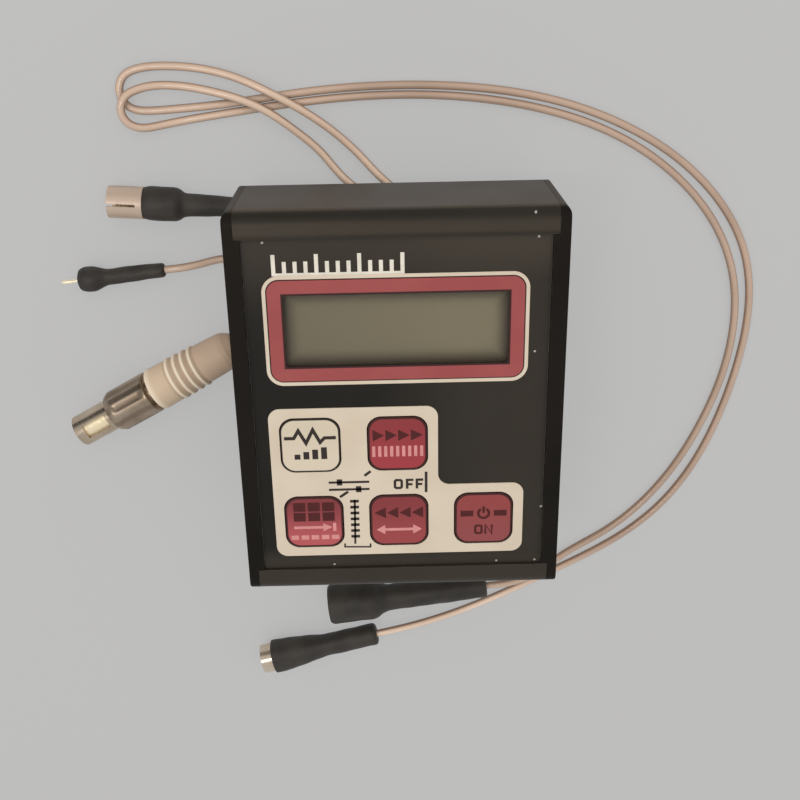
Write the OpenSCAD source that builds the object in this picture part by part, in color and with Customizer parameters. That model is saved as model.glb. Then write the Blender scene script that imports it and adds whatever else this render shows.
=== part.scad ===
// Watch timer in an extruded case that lies on its back on four rubber feet, with five signal leads.
// Frame: origin on the table under the middle of the case, +X to the right, +Y to the top edge,
// +Z up out of the front panel. All sizes are in millimetres.

/* [Case] */
// Width of the case with both end plates
case_w = 94; // [90:1:130]
// Height of the case from bottom edge to top edge
case_h = 118; // [114:1:150]
// Depth of the case from its back to its front lips
case_d = 39; // [37:1:60]
// Wall of the extrusion
wall = 2.5; // [2:0.25:3]
// Radius of the four long outer corners
corner_r = 4; // [2:0.5:5]
// Thickness of each end plate
plate_t = 3; // [2:0.5:4]
// Radius of the end plates' outer corners, as seen from the front
plate_corner_r = 2.25; // [0.5:0.25:3]
// Width of the end plate's bar in front of the panel
bar_w = 1.7; // [1:0.1:2]
// Width of the lips above and below the panel
lip_w = 7.5; // [6.5:0.25:8.5]
// Thickness of the lips in front of the panel
lip_t = 1.5; // [1.3:0.1:2.5]
// Depth of the groove that holds the panel's edges
groove_depth = 3.5; // [2:0.25:4]
// Thickness of the ledge behind the panel
ledge_t = 1.5; // [1:0.25:2.5]
// Outer radius of the screw channels in the corners
channel_r = 3.2; // [2.6:0.1:3.6]
// Radius of the end plate screws
plate_screw_r = 1.45; // [1.2:0.05:1.6]

/* [Front panel] */
// Thickness of the front panel
panel_t = 2; // [1.5:0.25:3]
// Thickness of the charcoal film on the panel
film_t = 0.4; // [0.2:0.05:0.6]

/* [Display] */
// Middle of the display, left to right
display_x = -0.5; // [-2:0.5:2]
// Share of the panel's free height that lies above the display
free_above = 0.59; // [0.3:0.01:0.8]
// Width of the display window
window_w = 62.6; // [50:0.2:66]
// Height of the display window
window_h = 21; // [15:0.5:23]
// Width of the red bezel round the window
bezel_w = 4.3; // [3:0.1:5]
// Thickness of the red bezel
bezel_t = 0.3; // [0.2:0.05:0.6]
// Outer corner radius of the red bezel
bezel_r = 3.4; // [2:0.2:5]
// Width of the white line round the bezel
outline_w = 1; // [0.6:0.1:1.4]
// Dark gap between the white line and the bezel
outline_gap = 0.35; // [0.2:0.05:0.6]
// Thickness of the white line
outline_t = 0.2; // [0.1:0.05:0.4]
// How far the window lens reaches under the film
lens_lap = 1; // [0.5:0.25:2]
// Width of the display glass
glass_w = 70; // [68:0.5:72]
// Height of the display glass
glass_h = 30; // [27:0.5:31]
// Thickness of the display glass
glass_t = 2.5; // [1.5:0.25:3]
// Wall of the display holder
holder_wall = 2; // [1.2:0.2:2.4]

/* [Keypad] */
// Width of a key
key_w = 17.2; // [14:0.2:18.4]
// Height of a key
key_h = 16.9; // [14:0.2:18.4]
// Corner radius of a key
key_r = 4; // [2:0.25:5]
// Distance between keys, middle to middle
key_pitch = 25.4; // [24:0.2:26.4]
// Middle of the middle key column
key_mid_x = -0.9; // [-2:0.1:1]
// Distance of the keypad film from the panel's lower edge
keypad_rise = 4.45; // [2:0.05:8]
// How far a key stands above the keypad film
key_proud = 0.4; // [0.2:0.05:0.6]
// Travel of a key
key_travel = 0.5; // [0.3:0.05:0.6]
// Thickness of the keypad film
keypad_t = 0.3; // [0.2:0.05:0.5]
// Margin of the keypad film round the keys
pad_margin = 3.2; // [2:0.1:3.6]
// Corner radius of the keypad film
pad_r = 3.4; // [2:0.2:5]
// Thickness of the flange that holds a key behind the panel
flange_t = 1; // [0.6:0.1:1.4]
// How far that flange reaches behind the panel
flange_lap = 0.7; // [0.4:0.1:0.9]
// Radius of a key's stem
stem_r = 2.5; // [1.5:0.25:3.5]
// Base radius of a snap dome
dome_r = 5; // [3.5:0.25:6.5]
// Height of a snap dome
dome_h = 0.8; // [0.7:0.05:1]

/* [Board] */
// Thickness of the main board
board_t = 1.6; // [1:0.2:2.4]
// Space between the panel and the board
board_space = 5.5; // [5:0.25:8]
// Space between the board's long edges and the end plates
board_side_gap = 1.5; // [1:0.25:3]
// Space between the board's ends and the screw channels
board_end_gap = 0.8; // [0.5:0.1:3]
// Width across corners of a stand-off
standoff_d = 4; // [3.5:0.1:4.5]
// Inset of the upper stand-offs from the board's corner
standoff_inset = 2.5; // [2.3:0.1:2.7]
// Radius of the board screws
board_screw_r = 1; // [0.8:0.1:1.1]

/* [Battery] */
// Length of the battery without its terminals
battery_l = 46; // [40:1:50]
// Width of the battery
battery_w = 26.5; // [22:0.5:28]
// Height of the battery as it lies
battery_h = 17.5; // [14:0.5:18]
// Distance of the battery from the lower wall
battery_margin = 14.75; // [12:0.25:18]
// Sheet thickness of the battery clip
clip_t = 0.8; // [0.5:0.1:1.2]

/* [Feet] */
// Height of the rubber feet
foot_h = 12; // [11:0.5:18]
// Radius of a foot where it meets the case
foot_r = 6; // [5:0.25:6.5]
// Distance of the feet from the side edges
foot_inset_x = 9.5; // [9:0.5:14]
// Distance of the feet from the top and bottom edges
foot_inset_y = 19; // [16:0.5:20]
// Radius of the screws in the back wall
rear_screw_r = 1.5; // [1.2:0.1:1.7]

/* [Lead outlet] */
// Width of the outlet block
outlet_w = 21.5; // [21:0.5:26]
// Length of the outlet block
outlet_l = 24; // [23.5:0.5:28]
// Height of the outlet block under the case
outlet_h = 10; // [9:0.25:10.75]
// Radius of the hole where the leads enter the case
outlet_bore_r = 6.5; // [6.4:0.05:6.7]
// Length of a strain relief
relief_l = 8; // [5:0.5:8]
// Radius of a strain relief at the block
relief_r = 2.8; // [2.2:0.1:2.9]
// Diameter of the leads
lead_d = 2.5; // [2:0.1:2.6]

/* [Inline sockets] */
// Outer radius of a socket's metal shell
shell_r = 5.2; // [4.8:0.1:5.5]
// Bore radius of a socket
socket_bore_r = 4.2; // [3.5:0.1:4.4]
// Depth of that bore
socket_depth = 10; // [8:0.5:12]
// Boot length of the first socket
boot_a_l = 38.8; // [36:0.2:42]
// Largest boot radius of the first socket
boot_a_r = 6.1; // [6:0.1:6.6]
// How far the first socket's shell stands out of its boot
shell_a_out = 4.2; // [3:0.2:6]
// Boot length of the second socket
boot_b_l = 56.4; // [54:0.2:60]
// Largest boot radius of the second socket
boot_b_r = 7.3; // [6.8:0.1:7.8]
// Length of the wide part of the second socket's boot
boot_b_wide = 17.8; // [16:0.2:22]

/* [Coax plug] */
// Length of the coax plug's boot
coax_boot_l = 28.3; // [26:0.1:32]
// Radius of the wide part of that boot
coax_boot_r = 5.3; // [5.1:0.1:6]
// Length of the wide part of that boot
coax_wide = 11.6; // [10:0.2:14]
// Length of the coax plug's shell outside its boot
coax_shell_l = 10.6; // [8:0.2:12]
// Outer radius of the coax plug's shell
coax_shell_r = 4.9; // [4.6:0.1:5]
// Radius of the coax plug's centre pin
coax_pin_r = 1.6; // [1.2:0.1:2]

/* [Pin plug] */
// Length of the pin plug's boot
pin_boot_l = 27.5; // [25:0.5:30]
// Largest radius of the pin plug's boot
pin_boot_r = 4.1; // [3.6:0.1:5]
// Radius of the pin
pin_r = 0.65; // [0.5:0.05:1]
// Length of the pin outside its boot
pin_l = 5.7; // [4:0.1:8]

/* [Sensor plug] */
// Length of the sensor plug's boot
sensor_boot_l = 33; // [32:0.5:36]
// Radius of that boot at the sleeve
sensor_boot_r = 7.2; // [7.1:0.1:8]
// Length of the coupling sleeve
sleeve_l = 15.2; // [12:0.2:18]
// Outer radius of the coupling sleeve
sleeve_r = 7; // [6.8:0.05:7.05]
// Bore radius of the coupling sleeve
sleeve_bore_r = 5.9; // [5.8:0.05:6.1]
// Travel of the coupling sleeve
sleeve_travel = 1; // [0.5:0.1:1.2]
// Length of the plug's nose in front of the sleeve
nose_l = 13.2; // [11:0.2:15]
// Outer radius of the nose
nose_r = 5.25; // [5:0.05:5.4]
// Bore radius of the nose
nose_bore_r = 4.3; // [4:0.1:4.4]

/* [Fits] */
// Clearance of plates and films in their seats
fit_gap = 0.15; // [0.1:0.05:0.25]
// Clearance of a sliding panel in its groove
slide_gap = 0.1; // [0.05:0.05:0.2]
// Clearance round a key in its opening
key_gap = 0.3; // [0.2:0.05:0.5]
// Radial clearance of a screw in its hole
screw_gap = 0.1; // [0.05:0.05:0.15]
// Radial clearance of parts that sit tight in round seats
seat_gap = 0.05; // [0.02:0.01:0.08]
// Clearance behind a moving part at the end of its travel
travel_gap = 0.2; // [0.1:0.05:0.3]

/* [Hidden] */
$fn = 48;

// Heights, from the table up
back_inner = foot_h + wall;
z_front = foot_h + case_d;
z_panel = z_front - lip_t;
panel_low = z_panel - panel_t;
groove_low = panel_low - slide_gap;
ledge_low = groove_low - ledge_t;
film_top = z_panel + film_t;
board_top = panel_low - board_space;
board_low = board_top - board_t;

// Case and front panel
body_l = case_w - 2 * plate_t;
open_h = case_h - 2 * lip_w;
channel_y = case_h / 2 - wall - 0.8 * channel_r;
channel_low_z = back_inner + 0.8 * channel_r;
channel_high_z = ledge_low - 0.8 * channel_r;
CHANNELS = [for (y = [-channel_y, channel_y], z = [channel_low_z, channel_high_z]) [y, z]];
plate_head_r = 2 * plate_screw_r;
plate_head_h = 1.6;
plate_screw_l = 12;
rib_h = 3;
rib_half = channel_y - 2 * channel_r;
panel_w = body_l - 2 * fit_gap;
panel_h = open_h + 2 * (groove_depth - fit_gap);

// Places on the panel, from its lower edge up: the keypad, the display and the free height
keypad_h = key_h + key_pitch + 2 * pad_margin;
frame_h = window_h + 2 * (bezel_w + outline_gap + outline_w);
free_h = open_h - keypad_rise - keypad_h - frame_h;
display_y = open_h / 2 - free_above * free_h - frame_h / 2;
key_low_y = keypad_rise + pad_margin + key_h / 2 - open_h / 2;

// Display stack
lens_w = window_w + 2 * lens_lap;
lens_h = window_h + 2 * lens_lap;
window_r = 0.8;
lens_r = 1.5;
glass_top = panel_low - slide_gap;
glass_low = glass_top - glass_t;
strip_t = 2;
strip_inset = 2;

// Keys
KEY_CELLS = [[-1, 0], [0, 0], [-1, 1], [0, 1], [1, 1]];
function key_place(cell) = [key_mid_x + cell[0] * key_pitch, key_low_y + (1 - cell[1]) * key_pitch];
opening_w = key_w + 2 * key_gap;
opening_h = key_h + 2 * key_gap;
opening_r = key_r + key_gap;
key_top = film_top + keypad_t + key_proud;
flange_top = panel_low - slide_gap;
flange_low = flange_top - flange_t;
dome_t = 0.15;
stem_low = board_top + dome_h + seat_gap;

// Board
board_w = body_l - 2 * board_side_gap;
board_h = 2 * (channel_y - channel_r - board_end_gap);
upper_x = board_w / 2 - standoff_inset;
upper_y = board_h / 2 - standoff_inset;
STANDOFFS = [
  [-upper_x, upper_y], [upper_x, upper_y],
  [key_mid_x - key_pitch / 2, key_low_y + key_pitch / 2],
  [key_mid_x + key_pitch / 2, key_low_y + key_pitch / 2]
];
header_size = [16, 6, 8];
header_low = board_low - header_size[2];
wire_r = 0.6;
chip_pitch = 2.54;
chip_w = 13.6;
chip_t = 3.6;
chip_gap = 0.6;
leg_w = 0.5;
leg_t = 0.3;
leg_l = 3;
crystal_l = 11;
crystal_w = 4.6;
crystal_h = 11;
can_r = 3.1;
can_h = 8;
can_step = 9;
part_margin = 11.5;
long_chip_pins = 20;
long_chip_x = -12;
short_chip_pins = 14;
short_chip_side = 1.22;
short_chip_gap = 6.2;

// Battery
battery_x = -8;
battery_y = wall + battery_margin + (battery_w - case_h) / 2;
battery_low = back_inner + clip_t;
terminal_r = 2.85;
terminal_l = 3;
terminal_pitch = 12.7;
snap_size = [5, 25, 12];
snap_x = battery_x + battery_l / 2 + slide_gap;

// Feet and the back wall
foot_x = case_w / 2 - foot_inset_x;
foot_y = case_h / 2 - foot_inset_y;
FEET = [for (x = [-foot_x, foot_x], y = [-foot_y, foot_y]) [x, y]];
foot_seat = foot_h / 2;
rear_head_r = 1.6 * rear_screw_r;
rear_head_h = 2;
rear_screw_out = 2;

// Lead outlet: the west and north faces carry the strain reliefs
outlet_west = -8;
outlet_north = 30;
outlet_low = foot_h - outlet_h;
outlet_bore = [2, 21];
exit_z = 5;
lead_r = lead_d / 2;
NORTH_EXITS = [6, -2];
WEST_EXITS = [27, 21, 15];
OUTLET_SCREWS = [
  [outlet_west + 3.2, outlet_north - outlet_l + 3.5],
  [outlet_west + outlet_w - 3, outlet_north - 3]
];
outlet_seat = outlet_low + 3;
outlet_floor = outlet_low + 1.5;
relief_tip_r = lead_r + 0.5;
tail_step = 2.6;
// Each lead's tail: where it enters the block, leaves its passage and turns up
TAILS = [
  [[outlet_west, WEST_EXITS[1]], [-4.4, WEST_EXITS[1]], [-3.2, 21]],
  [[NORTH_EXITS[1], outlet_north], [NORTH_EXITS[1], 26.2], [-2, 24.2]],
  [[outlet_west, WEST_EXITS[0]], [-0.6, WEST_EXITS[0]], [0.9, 25.6]],
  [[outlet_west, WEST_EXITS[2]], [-0.6, WEST_EXITS[2]], [0.9, 16.4]],
  [[NORTH_EXITS[0], outlet_north], [NORTH_EXITS[0], 26.2], [6, 24.2]]
];

// Routes of the leads from the strain relief's tip to the plug, on the table where they are free
ROUTE_A = [
  [6, 38, 5], [6, 45, 5], [2.4, 52, 3.2], [-4, 57.9, 1.8], [-10.2, 64.6, 1.6], [-22, 75.3, 3.3],
  [-28, 79.4, 4.2], [-37, 84.4, 4.2], [-45, 88, 3.1], [-57, 91.1, 1.5], [-67.6, 92, 1.3],
  [-72.7, 91.8, 1.3], [-76.4, 91.1, 1.3], [-79.5, 89.5, 1.3], [-81.2, 86.5, 1.3], [-81, 83.1, 1.3],
  [-78.9, 80.4, 1.3], [-75.6, 79.3, 1.3], [-71.6, 79.2, 1.3], [-66, 79.5, 1.3], [-52, 80.6, 1.3],
  [-27.6, 83.6, 1.3], [-3, 85.2, 1.3], [24, 84.2, 1.3], [50.2, 79.6, 1.3], [68.7, 72.9, 1.3],
  [86, 63, 1.3], [100.5, 49.8, 1.3], [110.6, 33.8, 1.3], [114.7, 15.2, 1.3], [113.5, -4.8, 1.3],
  [109.1, -24.3, 1.3], [102.2, -42.4, 1.3], [91.8, -58.6, 1.3], [77.3, -71.8, 1.3], [60, -82.2, 1.3],
  [41, -92, 1.5], [20.4, -100, 3.6], [0.3, -104.9, 6.1], [-9.4, -107.2, 6.1]
];
ROUTE_B = [
  [-2, 38, 5], [-2, 45, 5], [-6.8, 51.2, 3.2], [-15, 57.5, 1.8], [-22.4, 66.2, 1.7],
  [-28.2, 71.6, 2.5], [-33.9, 76.2, 3.7], [-39.5, 79.8, 4.3], [-46, 82.6, 4.3], [-54, 84.8, 3.5],
  [-66.5, 86.6, 2.4], [-71.6, 86.5, 2.7], [-75.6, 85.7, 3.4], [-78.9, 84.1, 4], [-80.7, 81.2, 4.3],
  [-80.5, 77.9, 4.1], [-78.4, 75.4, 3.5], [-75.2, 74.4, 2.8], [-71.3, 74.7, 2], [-66, 75.6, 1.4],
  [-52, 77.7, 1.3], [-27.7, 80.8, 1.3], [-3, 82.4, 1.3], [21, 81.5, 1.3], [43.3, 77.9, 1.3],
  [60, 72.8, 1.3], [75.8, 65, 1.3], [89.9, 54.2, 1.3], [101.2, 40.7, 1.3], [108.3, 24.9, 1.3],
  [110.5, 7.6, 1.3], [108.5, -10.1, 1.3], [103.1, -27.5, 1.3], [95.3, -43.7, 1.3], [85.3, -57.6, 1.3],
  [72.4, -69.3, 1.3], [57.5, -78.4, 2.2], [47, -84, 5.3], [38, -86.2, 7.3], [30.1, -87.1, 7.3]
];
ROUTE_COAX = [
  [-16, 27, 5], [-21, 27, 5], [-25.5, 29.6, 3.8], [-27.6, 35, 2.2], [-28.6, 41, 1.5],
  [-31.6, 46.4, 1.8], [-37, 49.4, 3.6], [-43, 50, 5.3], [-48.5, 50.4, 5.3]
];
ROUTE_PIN = [
  [-16, 21, 5], [-22, 21, 5], [-30, 22.4, 3.8], [-38, 26.6, 2], [-46, 31.4, 1.3],
  [-55, 33, 1.3], [-61.5, 32, 2.8], [-66.8, 31.3, 4.1], [-72.8, 30.7, 4.1]
];
ROUTE_SENSOR = [
  [-16, 15, 5], [-22, 15, 5], [-30, 14.6, 4.4], [-38, 12.9, 5.4], [-45, 9.8, 7.2], [-50.3, 6.9, 7.2]
];

// Directions in which the plugs point, as turns about +Z from +X
socket_a_turn = 193.4;
socket_b_turn = 186.3;
coax_turn = 176.3;
pin_turn = 186.1;
sensor_turn = 208.5;

// Plug insides
socket_insert_l = 2;
socket_seat_l = socket_depth + socket_insert_l;
insert_l = 3;
insert_r = socket_bore_r - 0.6;
contact_r = 1;
nose_start = sensor_boot_l + travel_gap + sleeve_travel + sleeve_l;
nose_end = nose_start + nose_l;
slot_w = 4.6;
slot_l = 8.6;
slot_tip = 3;
insert_tip = 2;
nose_seam = 37.5;

CHARCOAL = "#2c2b29";
CREAM = "#d9cdb8";
RED = "#a8474d";
COPPER = "#c99c78";
NICKEL = "#a39a88";

// Shared shapes

// Rounded rectangle about the origin
module rounded_rect(w, h, r) {
  square([w - 2 * r, h], center = true);
  square([w, h - 2 * r], center = true);
  for (x = [-1, 1], y = [-1, 1])
    translate([x * (w / 2 - r), y * (h / 2 - r)])
      circle(r);
}

// Rounded rectangle between two corners
module rounded_between(low, high, r) {
  translate((low + high) / 2)
    rounded_rect(high[0] - low[0], high[1] - low[1], r);
}

// A flat piece at a height
module plate_at(z, t) {
  translate([0, 0, z])
    linear_extrude(t)
      children();
}

// An outline drawn in Y and Z, carried along X about the middle
module along_x(l) {
  translate([-l / 2, 0, 0])
    rotate([90, 0, 90])
      linear_extrude(l)
        children();
}

// A plug's turned outline, lying on the table and pointing where the plug points
module lay(place, turn, height) {
  translate([place[0], place[1], height])
    rotate([0, 0, turn])
      rotate([0, 90, 0])
        children();
}

module turned(outline) {
  rotate_extrude()
    polygon(outline);
}

// Tube between two radii, from one height to another
module sleeve_tube(outer_r, inner_r, low, high) {
  difference() {
    translate([0, 0, low])
      cylinder(r = outer_r, h = high - low);
    translate([0, 0, low - 1])
      cylinder(r = inner_r, h = high - low + 2);
  }
}

// Swept tube: rings of eight points square to the route, joined by triangles
function unit(v) = v / norm(v);
function heading(path, i) = unit(path[min(i + 1, len(path) - 1)] - path[max(i - 1, 0)]);
function ring(path, i, r, up, sides) =
  let (ahead = heading(path, i), across = unit(cross(up, ahead)), over = cross(ahead, across))
  [for (k = [0 : sides - 1])
    path[i] + r * (cos(360 * k / sides) * across + sin(360 * k / sides) * over)];
function ring_faces(i, sides) =
  [for (k = [0 : sides - 1], half = [0, 1])
    let (a = i * sides + k, b = i * sides + (k + 1) % sides)
    half == 0 ? [a, a + sides, b] : [b, a + sides, b + sides]];
function end_faces(first, sides, flip) =
  [for (k = [1 : sides - 2])
    flip ? [first, first + k + 1, first + k] : [first, first + k, first + k + 1]];

module swept_tube(path, r, up = [0, 0, 1], sides = 8) {
  count = len(path);
  polyhedron(
    points = [for (i = [0 : count - 1]) each ring(path, i, r, up, sides)],
    faces = concat(
      [for (i = [0 : count - 2]) each ring_faces(i, sides)],
      end_faces(0, sides, false),
      end_faces((count - 1) * sides, sides, true)
    )
  );
}

// Pan-head screw along +Z, with its seat at the origin and a cross in its head
module pan_screw(r, head_r, head_h, l) {
  difference() {
    union() {
      cylinder(r = r, h = l);
      translate([0, 0, -head_h])
        cylinder(r = head_r, h = head_h);
    }
    for (turn = [0, 90])
      rotate([0, 0, turn])
        translate([-0.7 * head_r, -0.15 * head_r, -head_h - 1])
          cube([1.4 * head_r, 0.3 * head_r, 1 + head_h / 2]);
  }
}

// Case

module case_outline() {
  translate([0, foot_h + case_d / 2])
    rounded_rect(case_h, case_d, corner_r);
}

module case_profile() {
  difference() {
    union() {
      difference() {
        case_outline();
        translate([-case_h / 2 + wall, back_inner])
          square([case_h - 2 * wall, ledge_low - back_inner]);
        translate([-open_h / 2, ledge_low - 1])
          square([open_h, case_d]);
        translate([-open_h / 2 - groove_depth, groove_low])
          square([open_h + 2 * groove_depth, z_panel - groove_low]);
      }
      for (place = CHANNELS)
        translate(place)
          circle(channel_r);
    }
    for (place = CHANNELS)
      translate(place)
        circle(plate_screw_r + screw_gap);
  }
}

// Extruded case, drilled through its back for the feet, the outlet and its screws
module case_extrusion() {
  color(CHARCOAL)
    difference() {
      along_x(body_l)
        case_profile();
      for (place = concat(FEET, OUTLET_SCREWS))
        translate([place[0], place[1], foot_h - 1])
          cylinder(r = rear_screw_r + screw_gap, h = wall + 2);
      translate([outlet_bore[0], outlet_bore[1], foot_h - 1])
        cylinder(r = outlet_bore_r, h = wall + 2);
    }
}

// Countersunk screw along +Z, with its head's face at the origin
module sunk_outline(r, head_r, head_h, l) {
  rotate([180, 0, 0])
    turned([[0, 0], [head_r, 0], [r, head_h], [r, l], [0, l]]);
}

module at_plate_screws() {
  for (place = CHANNELS)
    translate([case_w / 2, place[0], place[1]])
      rotate([0, 90, 0])
        children();
}

// Right end plate: the plate, the bar in front of the panel and a rib inside the back wall
module end_plate() {
  bar_x = body_l / 2 - bar_w;
  bar_l = bar_w + plate_t / 2;
  difference() {
    union() {
      intersection() {
        translate([(case_w - plate_t) / 2, 0, 0])
          along_x(plate_t)
            case_outline();
        plate_at(foot_h, case_d)
          rounded_rect(case_w, case_h, plate_corner_r);
      }
      translate([bar_x, -open_h / 2 + fit_gap, z_panel + fit_gap])
        cube([bar_l, open_h - 2 * fit_gap, lip_t - fit_gap]);
      translate([bar_x, -rib_half, back_inner + fit_gap])
        cube([bar_l, 2 * rib_half, rib_h]);
    }
    at_plate_screws()
      sunk_outline(plate_screw_r + screw_gap, plate_head_r + screw_gap, plate_head_h, plate_t + 1);
  }
}

module end_plate_right() {
  color(CHARCOAL)
    end_plate();
}

module end_plate_left() {
  color(CHARCOAL)
    mirror([1, 0, 0])
      end_plate();
}

module plate_screw() {
  difference() {
    sunk_outline(plate_screw_r, plate_head_r, plate_head_h, plate_screw_l);
    for (turn = [0, 90])
      rotate([0, 0, turn])
        translate([-0.6 * plate_head_r, -0.15 * plate_head_r, -plate_head_h / 2])
          cube([1.2 * plate_head_r, 0.3 * plate_head_r, plate_head_h]);
  }
}

module end_plate_screws() {
  color("dimgray")
    for (side = [0, 1])
      mirror([side, 0, 0])
        at_plate_screws()
          plate_screw();
}

// Front panel and films

module key_openings() {
  for (cell = KEY_CELLS)
    translate(key_place(cell))
      rounded_rect(opening_w, opening_h, opening_r);
}

module front_panel() {
  color("gray")
    plate_at(panel_low, panel_t)
      difference() {
        square([panel_w, panel_h], center = true);
        translate([display_x, display_y])
          rounded_rect(lens_w + 2 * fit_gap, lens_h + 2 * fit_gap, lens_r);
        key_openings();
      }
}

module front_film() {
  color("#3e3c37")
    plate_at(z_panel, film_t)
      difference() {
        square([body_l - 2 * bar_w - 2 * fit_gap, open_h - 2 * fit_gap], center = true);
        translate([display_x, display_y])
          rounded_rect(window_w, window_h, window_r);
        key_openings();
      }
}

// Ring round the display window, between two distances from the window's edge
module display_ring(inner, outer, inner_r, outer_r) {
  translate([display_x, display_y])
    difference() {
      rounded_rect(window_w + 2 * outer, window_h + 2 * outer, outer_r);
      rounded_rect(window_w + 2 * inner, window_h + 2 * inner, inner_r);
    }
}

module display_bezel() {
  color(RED)
    plate_at(film_top, bezel_t)
      display_ring(0, bezel_w, window_r, bezel_r);
}

module display_outline() {
  line_in = bezel_w + outline_gap;
  color(CREAM)
    plate_at(film_top, outline_t)
      display_ring(line_in, line_in + outline_w, bezel_r + outline_gap, bezel_r + outline_gap + outline_w);
}

// L-shaped keypad film: five cells of a two by three grid, with a rounded inner corner
module keypad_outline() {
  edge = [key_w / 2 + pad_margin, key_h / 2 + pad_margin];
  low = key_place([-1, 1]) - edge;
  step = key_place([0, 1]) + edge;
  rounded_between(low, key_place([0, 0]) + edge, pad_r);
  rounded_between(low, key_place([1, 1]) + edge, pad_r);
  translate([step[0] - 1, step[1] - 1])
    difference() {
      square(pad_r + 1);
      translate([pad_r + 1, pad_r + 1])
        circle(pad_r);
    }
}

module keypad_film() {
  color(CREAM)
    plate_at(film_top, keypad_t)
      difference() {
        keypad_outline();
        key_openings();
      }
}

// Keys and their snap domes

module key_cap(cell) {
  lap = key_gap + flange_lap;
  translate(key_place(cell)) {
    plate_at(flange_low, key_top - flange_low)
      rounded_rect(key_w, key_h, key_r);
    plate_at(flange_low, flange_t)
      rounded_rect(key_w + 2 * lap, key_h + 2 * lap, key_r + lap);
    translate([0, 0, stem_low])
      cylinder(r = stem_r, h = flange_low - stem_low + flange_t / 2);
  }
}

module display_key() {
  color(CREAM)
    key_cap(KEY_CELLS[0]);
}

module faster_key() {
  color(RED)
    key_cap(KEY_CELLS[1]);
}

module marker_key() {
  color(RED)
    key_cap(KEY_CELLS[2]);
}

module slower_key() {
  color(RED)
    key_cap(KEY_CELLS[3]);
}

module power_key() {
  color(RED)
    key_cap(KEY_CELLS[4]);
}

// Thin dished disc standing on its rim
function dome_arc(r, h, steps) =
  let (big_r = (r * r + h * h) / (2 * h), half = asin(r / big_r))
  [for (i = [0 : steps])
    let (a = half * i / steps)
    [big_r * sin(a), big_r * cos(a) - big_r + h]];

module snap_dome(cell) {
  steps = 8;
  outer = dome_arc(dome_r, dome_h, steps);
  inner = dome_arc(dome_r - dome_t, dome_h - dome_t, steps);
  place = key_place(cell);
  color("silver")
    translate([place[0], place[1], board_top])
      turned(concat(outer, [for (i = [steps : -1 : 0]) inner[i]]));
}

module display_dome() {
  snap_dome(KEY_CELLS[0]);
}

module faster_dome() {
  snap_dome(KEY_CELLS[1]);
}

module marker_dome() {
  snap_dome(KEY_CELLS[2]);
}

module slower_dome() {
  snap_dome(KEY_CELLS[3]);
}

module power_dome() {
  snap_dome(KEY_CELLS[4]);
}

// Display

module window_lens() {
  color("lightgray", 0.4)
    plate_at(panel_low, panel_t)
      translate([display_x, display_y])
        rounded_rect(lens_w, lens_h, lens_r - fit_gap);
}

module display_glass() {
  color("#7d7662")
    translate([display_x - glass_w / 2, display_y - glass_h / 2, glass_low])
      cube([glass_w, glass_h, glass_t]);
}

module display_holder() {
  inner = fit_gap;
  outer = fit_gap + holder_wall;
  color("black")
    plate_at(board_top, glass_top - slide_gap - board_top)
      translate([display_x, display_y])
        difference() {
          square([glass_w + 2 * outer, glass_h + 2 * outer], center = true);
          square([glass_w + 2 * inner, glass_h + 2 * inner], center = true);
        }
}

// Two elastomer strips that carry the glass and join it to the board
module contact_strips() {
  color("pink")
    for (side = [-1, 1])
      translate([display_x, display_y + side * (glass_h / 2 - strip_inset), board_top])
        linear_extrude(glass_low - board_top)
          square([glass_w - 4 * strip_inset, strip_t], center = true);
}

// Board

module main_board() {
  color("darkgreen")
    plate_at(board_low, board_t)
      difference() {
        square([board_w, board_h], center = true);
        for (place = STANDOFFS)
          translate(place)
            circle(board_screw_r + screw_gap);
      }
}

module board_standoffs() {
  color("gold")
    for (place = STANDOFFS)
      translate([place[0], place[1], board_top])
        difference() {
          cylinder(d = standoff_d, h = board_space, $fn = 6);
          translate([0, 0, -1])
            cylinder(r = board_screw_r + seat_gap, h = board_space);
        }
}

module board_screws() {
  color("silver")
    for (place = STANDOFFS)
      translate([place[0], place[1], board_low])
        pan_screw(board_screw_r, 1.8 * board_screw_r, 1.5, board_t + board_space / 2);
}

// Chip that hangs under the board on two rows of legs
module chip(pins_a_side) {
  chip_l = pins_a_side * chip_pitch;
  translate([-chip_l / 2, -chip_w / 2, -chip_gap - chip_t])
    cube([chip_l, chip_w, chip_t]);
  for (i = [0 : pins_a_side - 1], side = [-1, 1])
    translate([(i - (pins_a_side - 1) / 2) * chip_pitch, side * (chip_w + leg_t) / 2, -leg_l / 2])
      cube([leg_w, leg_t, leg_l], center = true);
}

module board_chips() {
  short_chip_x = board_w / 2 - part_margin - short_chip_side - short_chip_pins * chip_pitch / 2;
  short_chip_y = outlet_bore[1] - header_size[1] / 2 - short_chip_gap - chip_w / 2 - can_r;
  color("#202020")
    translate([0, 0, board_low]) {
      translate([long_chip_x, board_h / 2 - part_margin, 0])
        chip(long_chip_pins);
      translate([short_chip_x, short_chip_y, 0])
        chip(short_chip_pins);
    }
}

module quartz_crystal() {
  color("silver")
    plate_at(board_low - crystal_h, crystal_h)
      translate([board_w / 2 - part_margin - crystal_l / 2, board_h / 2 - part_margin])
        rounded_rect(crystal_l, crystal_w, crystal_w / 2 - seat_gap);
}

module capacitors() {
  first_y = board_h / 2 - 2 * part_margin;
  color("darkblue")
    for (i = [0 : 2])
      translate([board_w / 2 - part_margin + can_r, first_y - can_step * i, board_low - can_h])
        cylinder(r = can_r, h = can_h);
}

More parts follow.
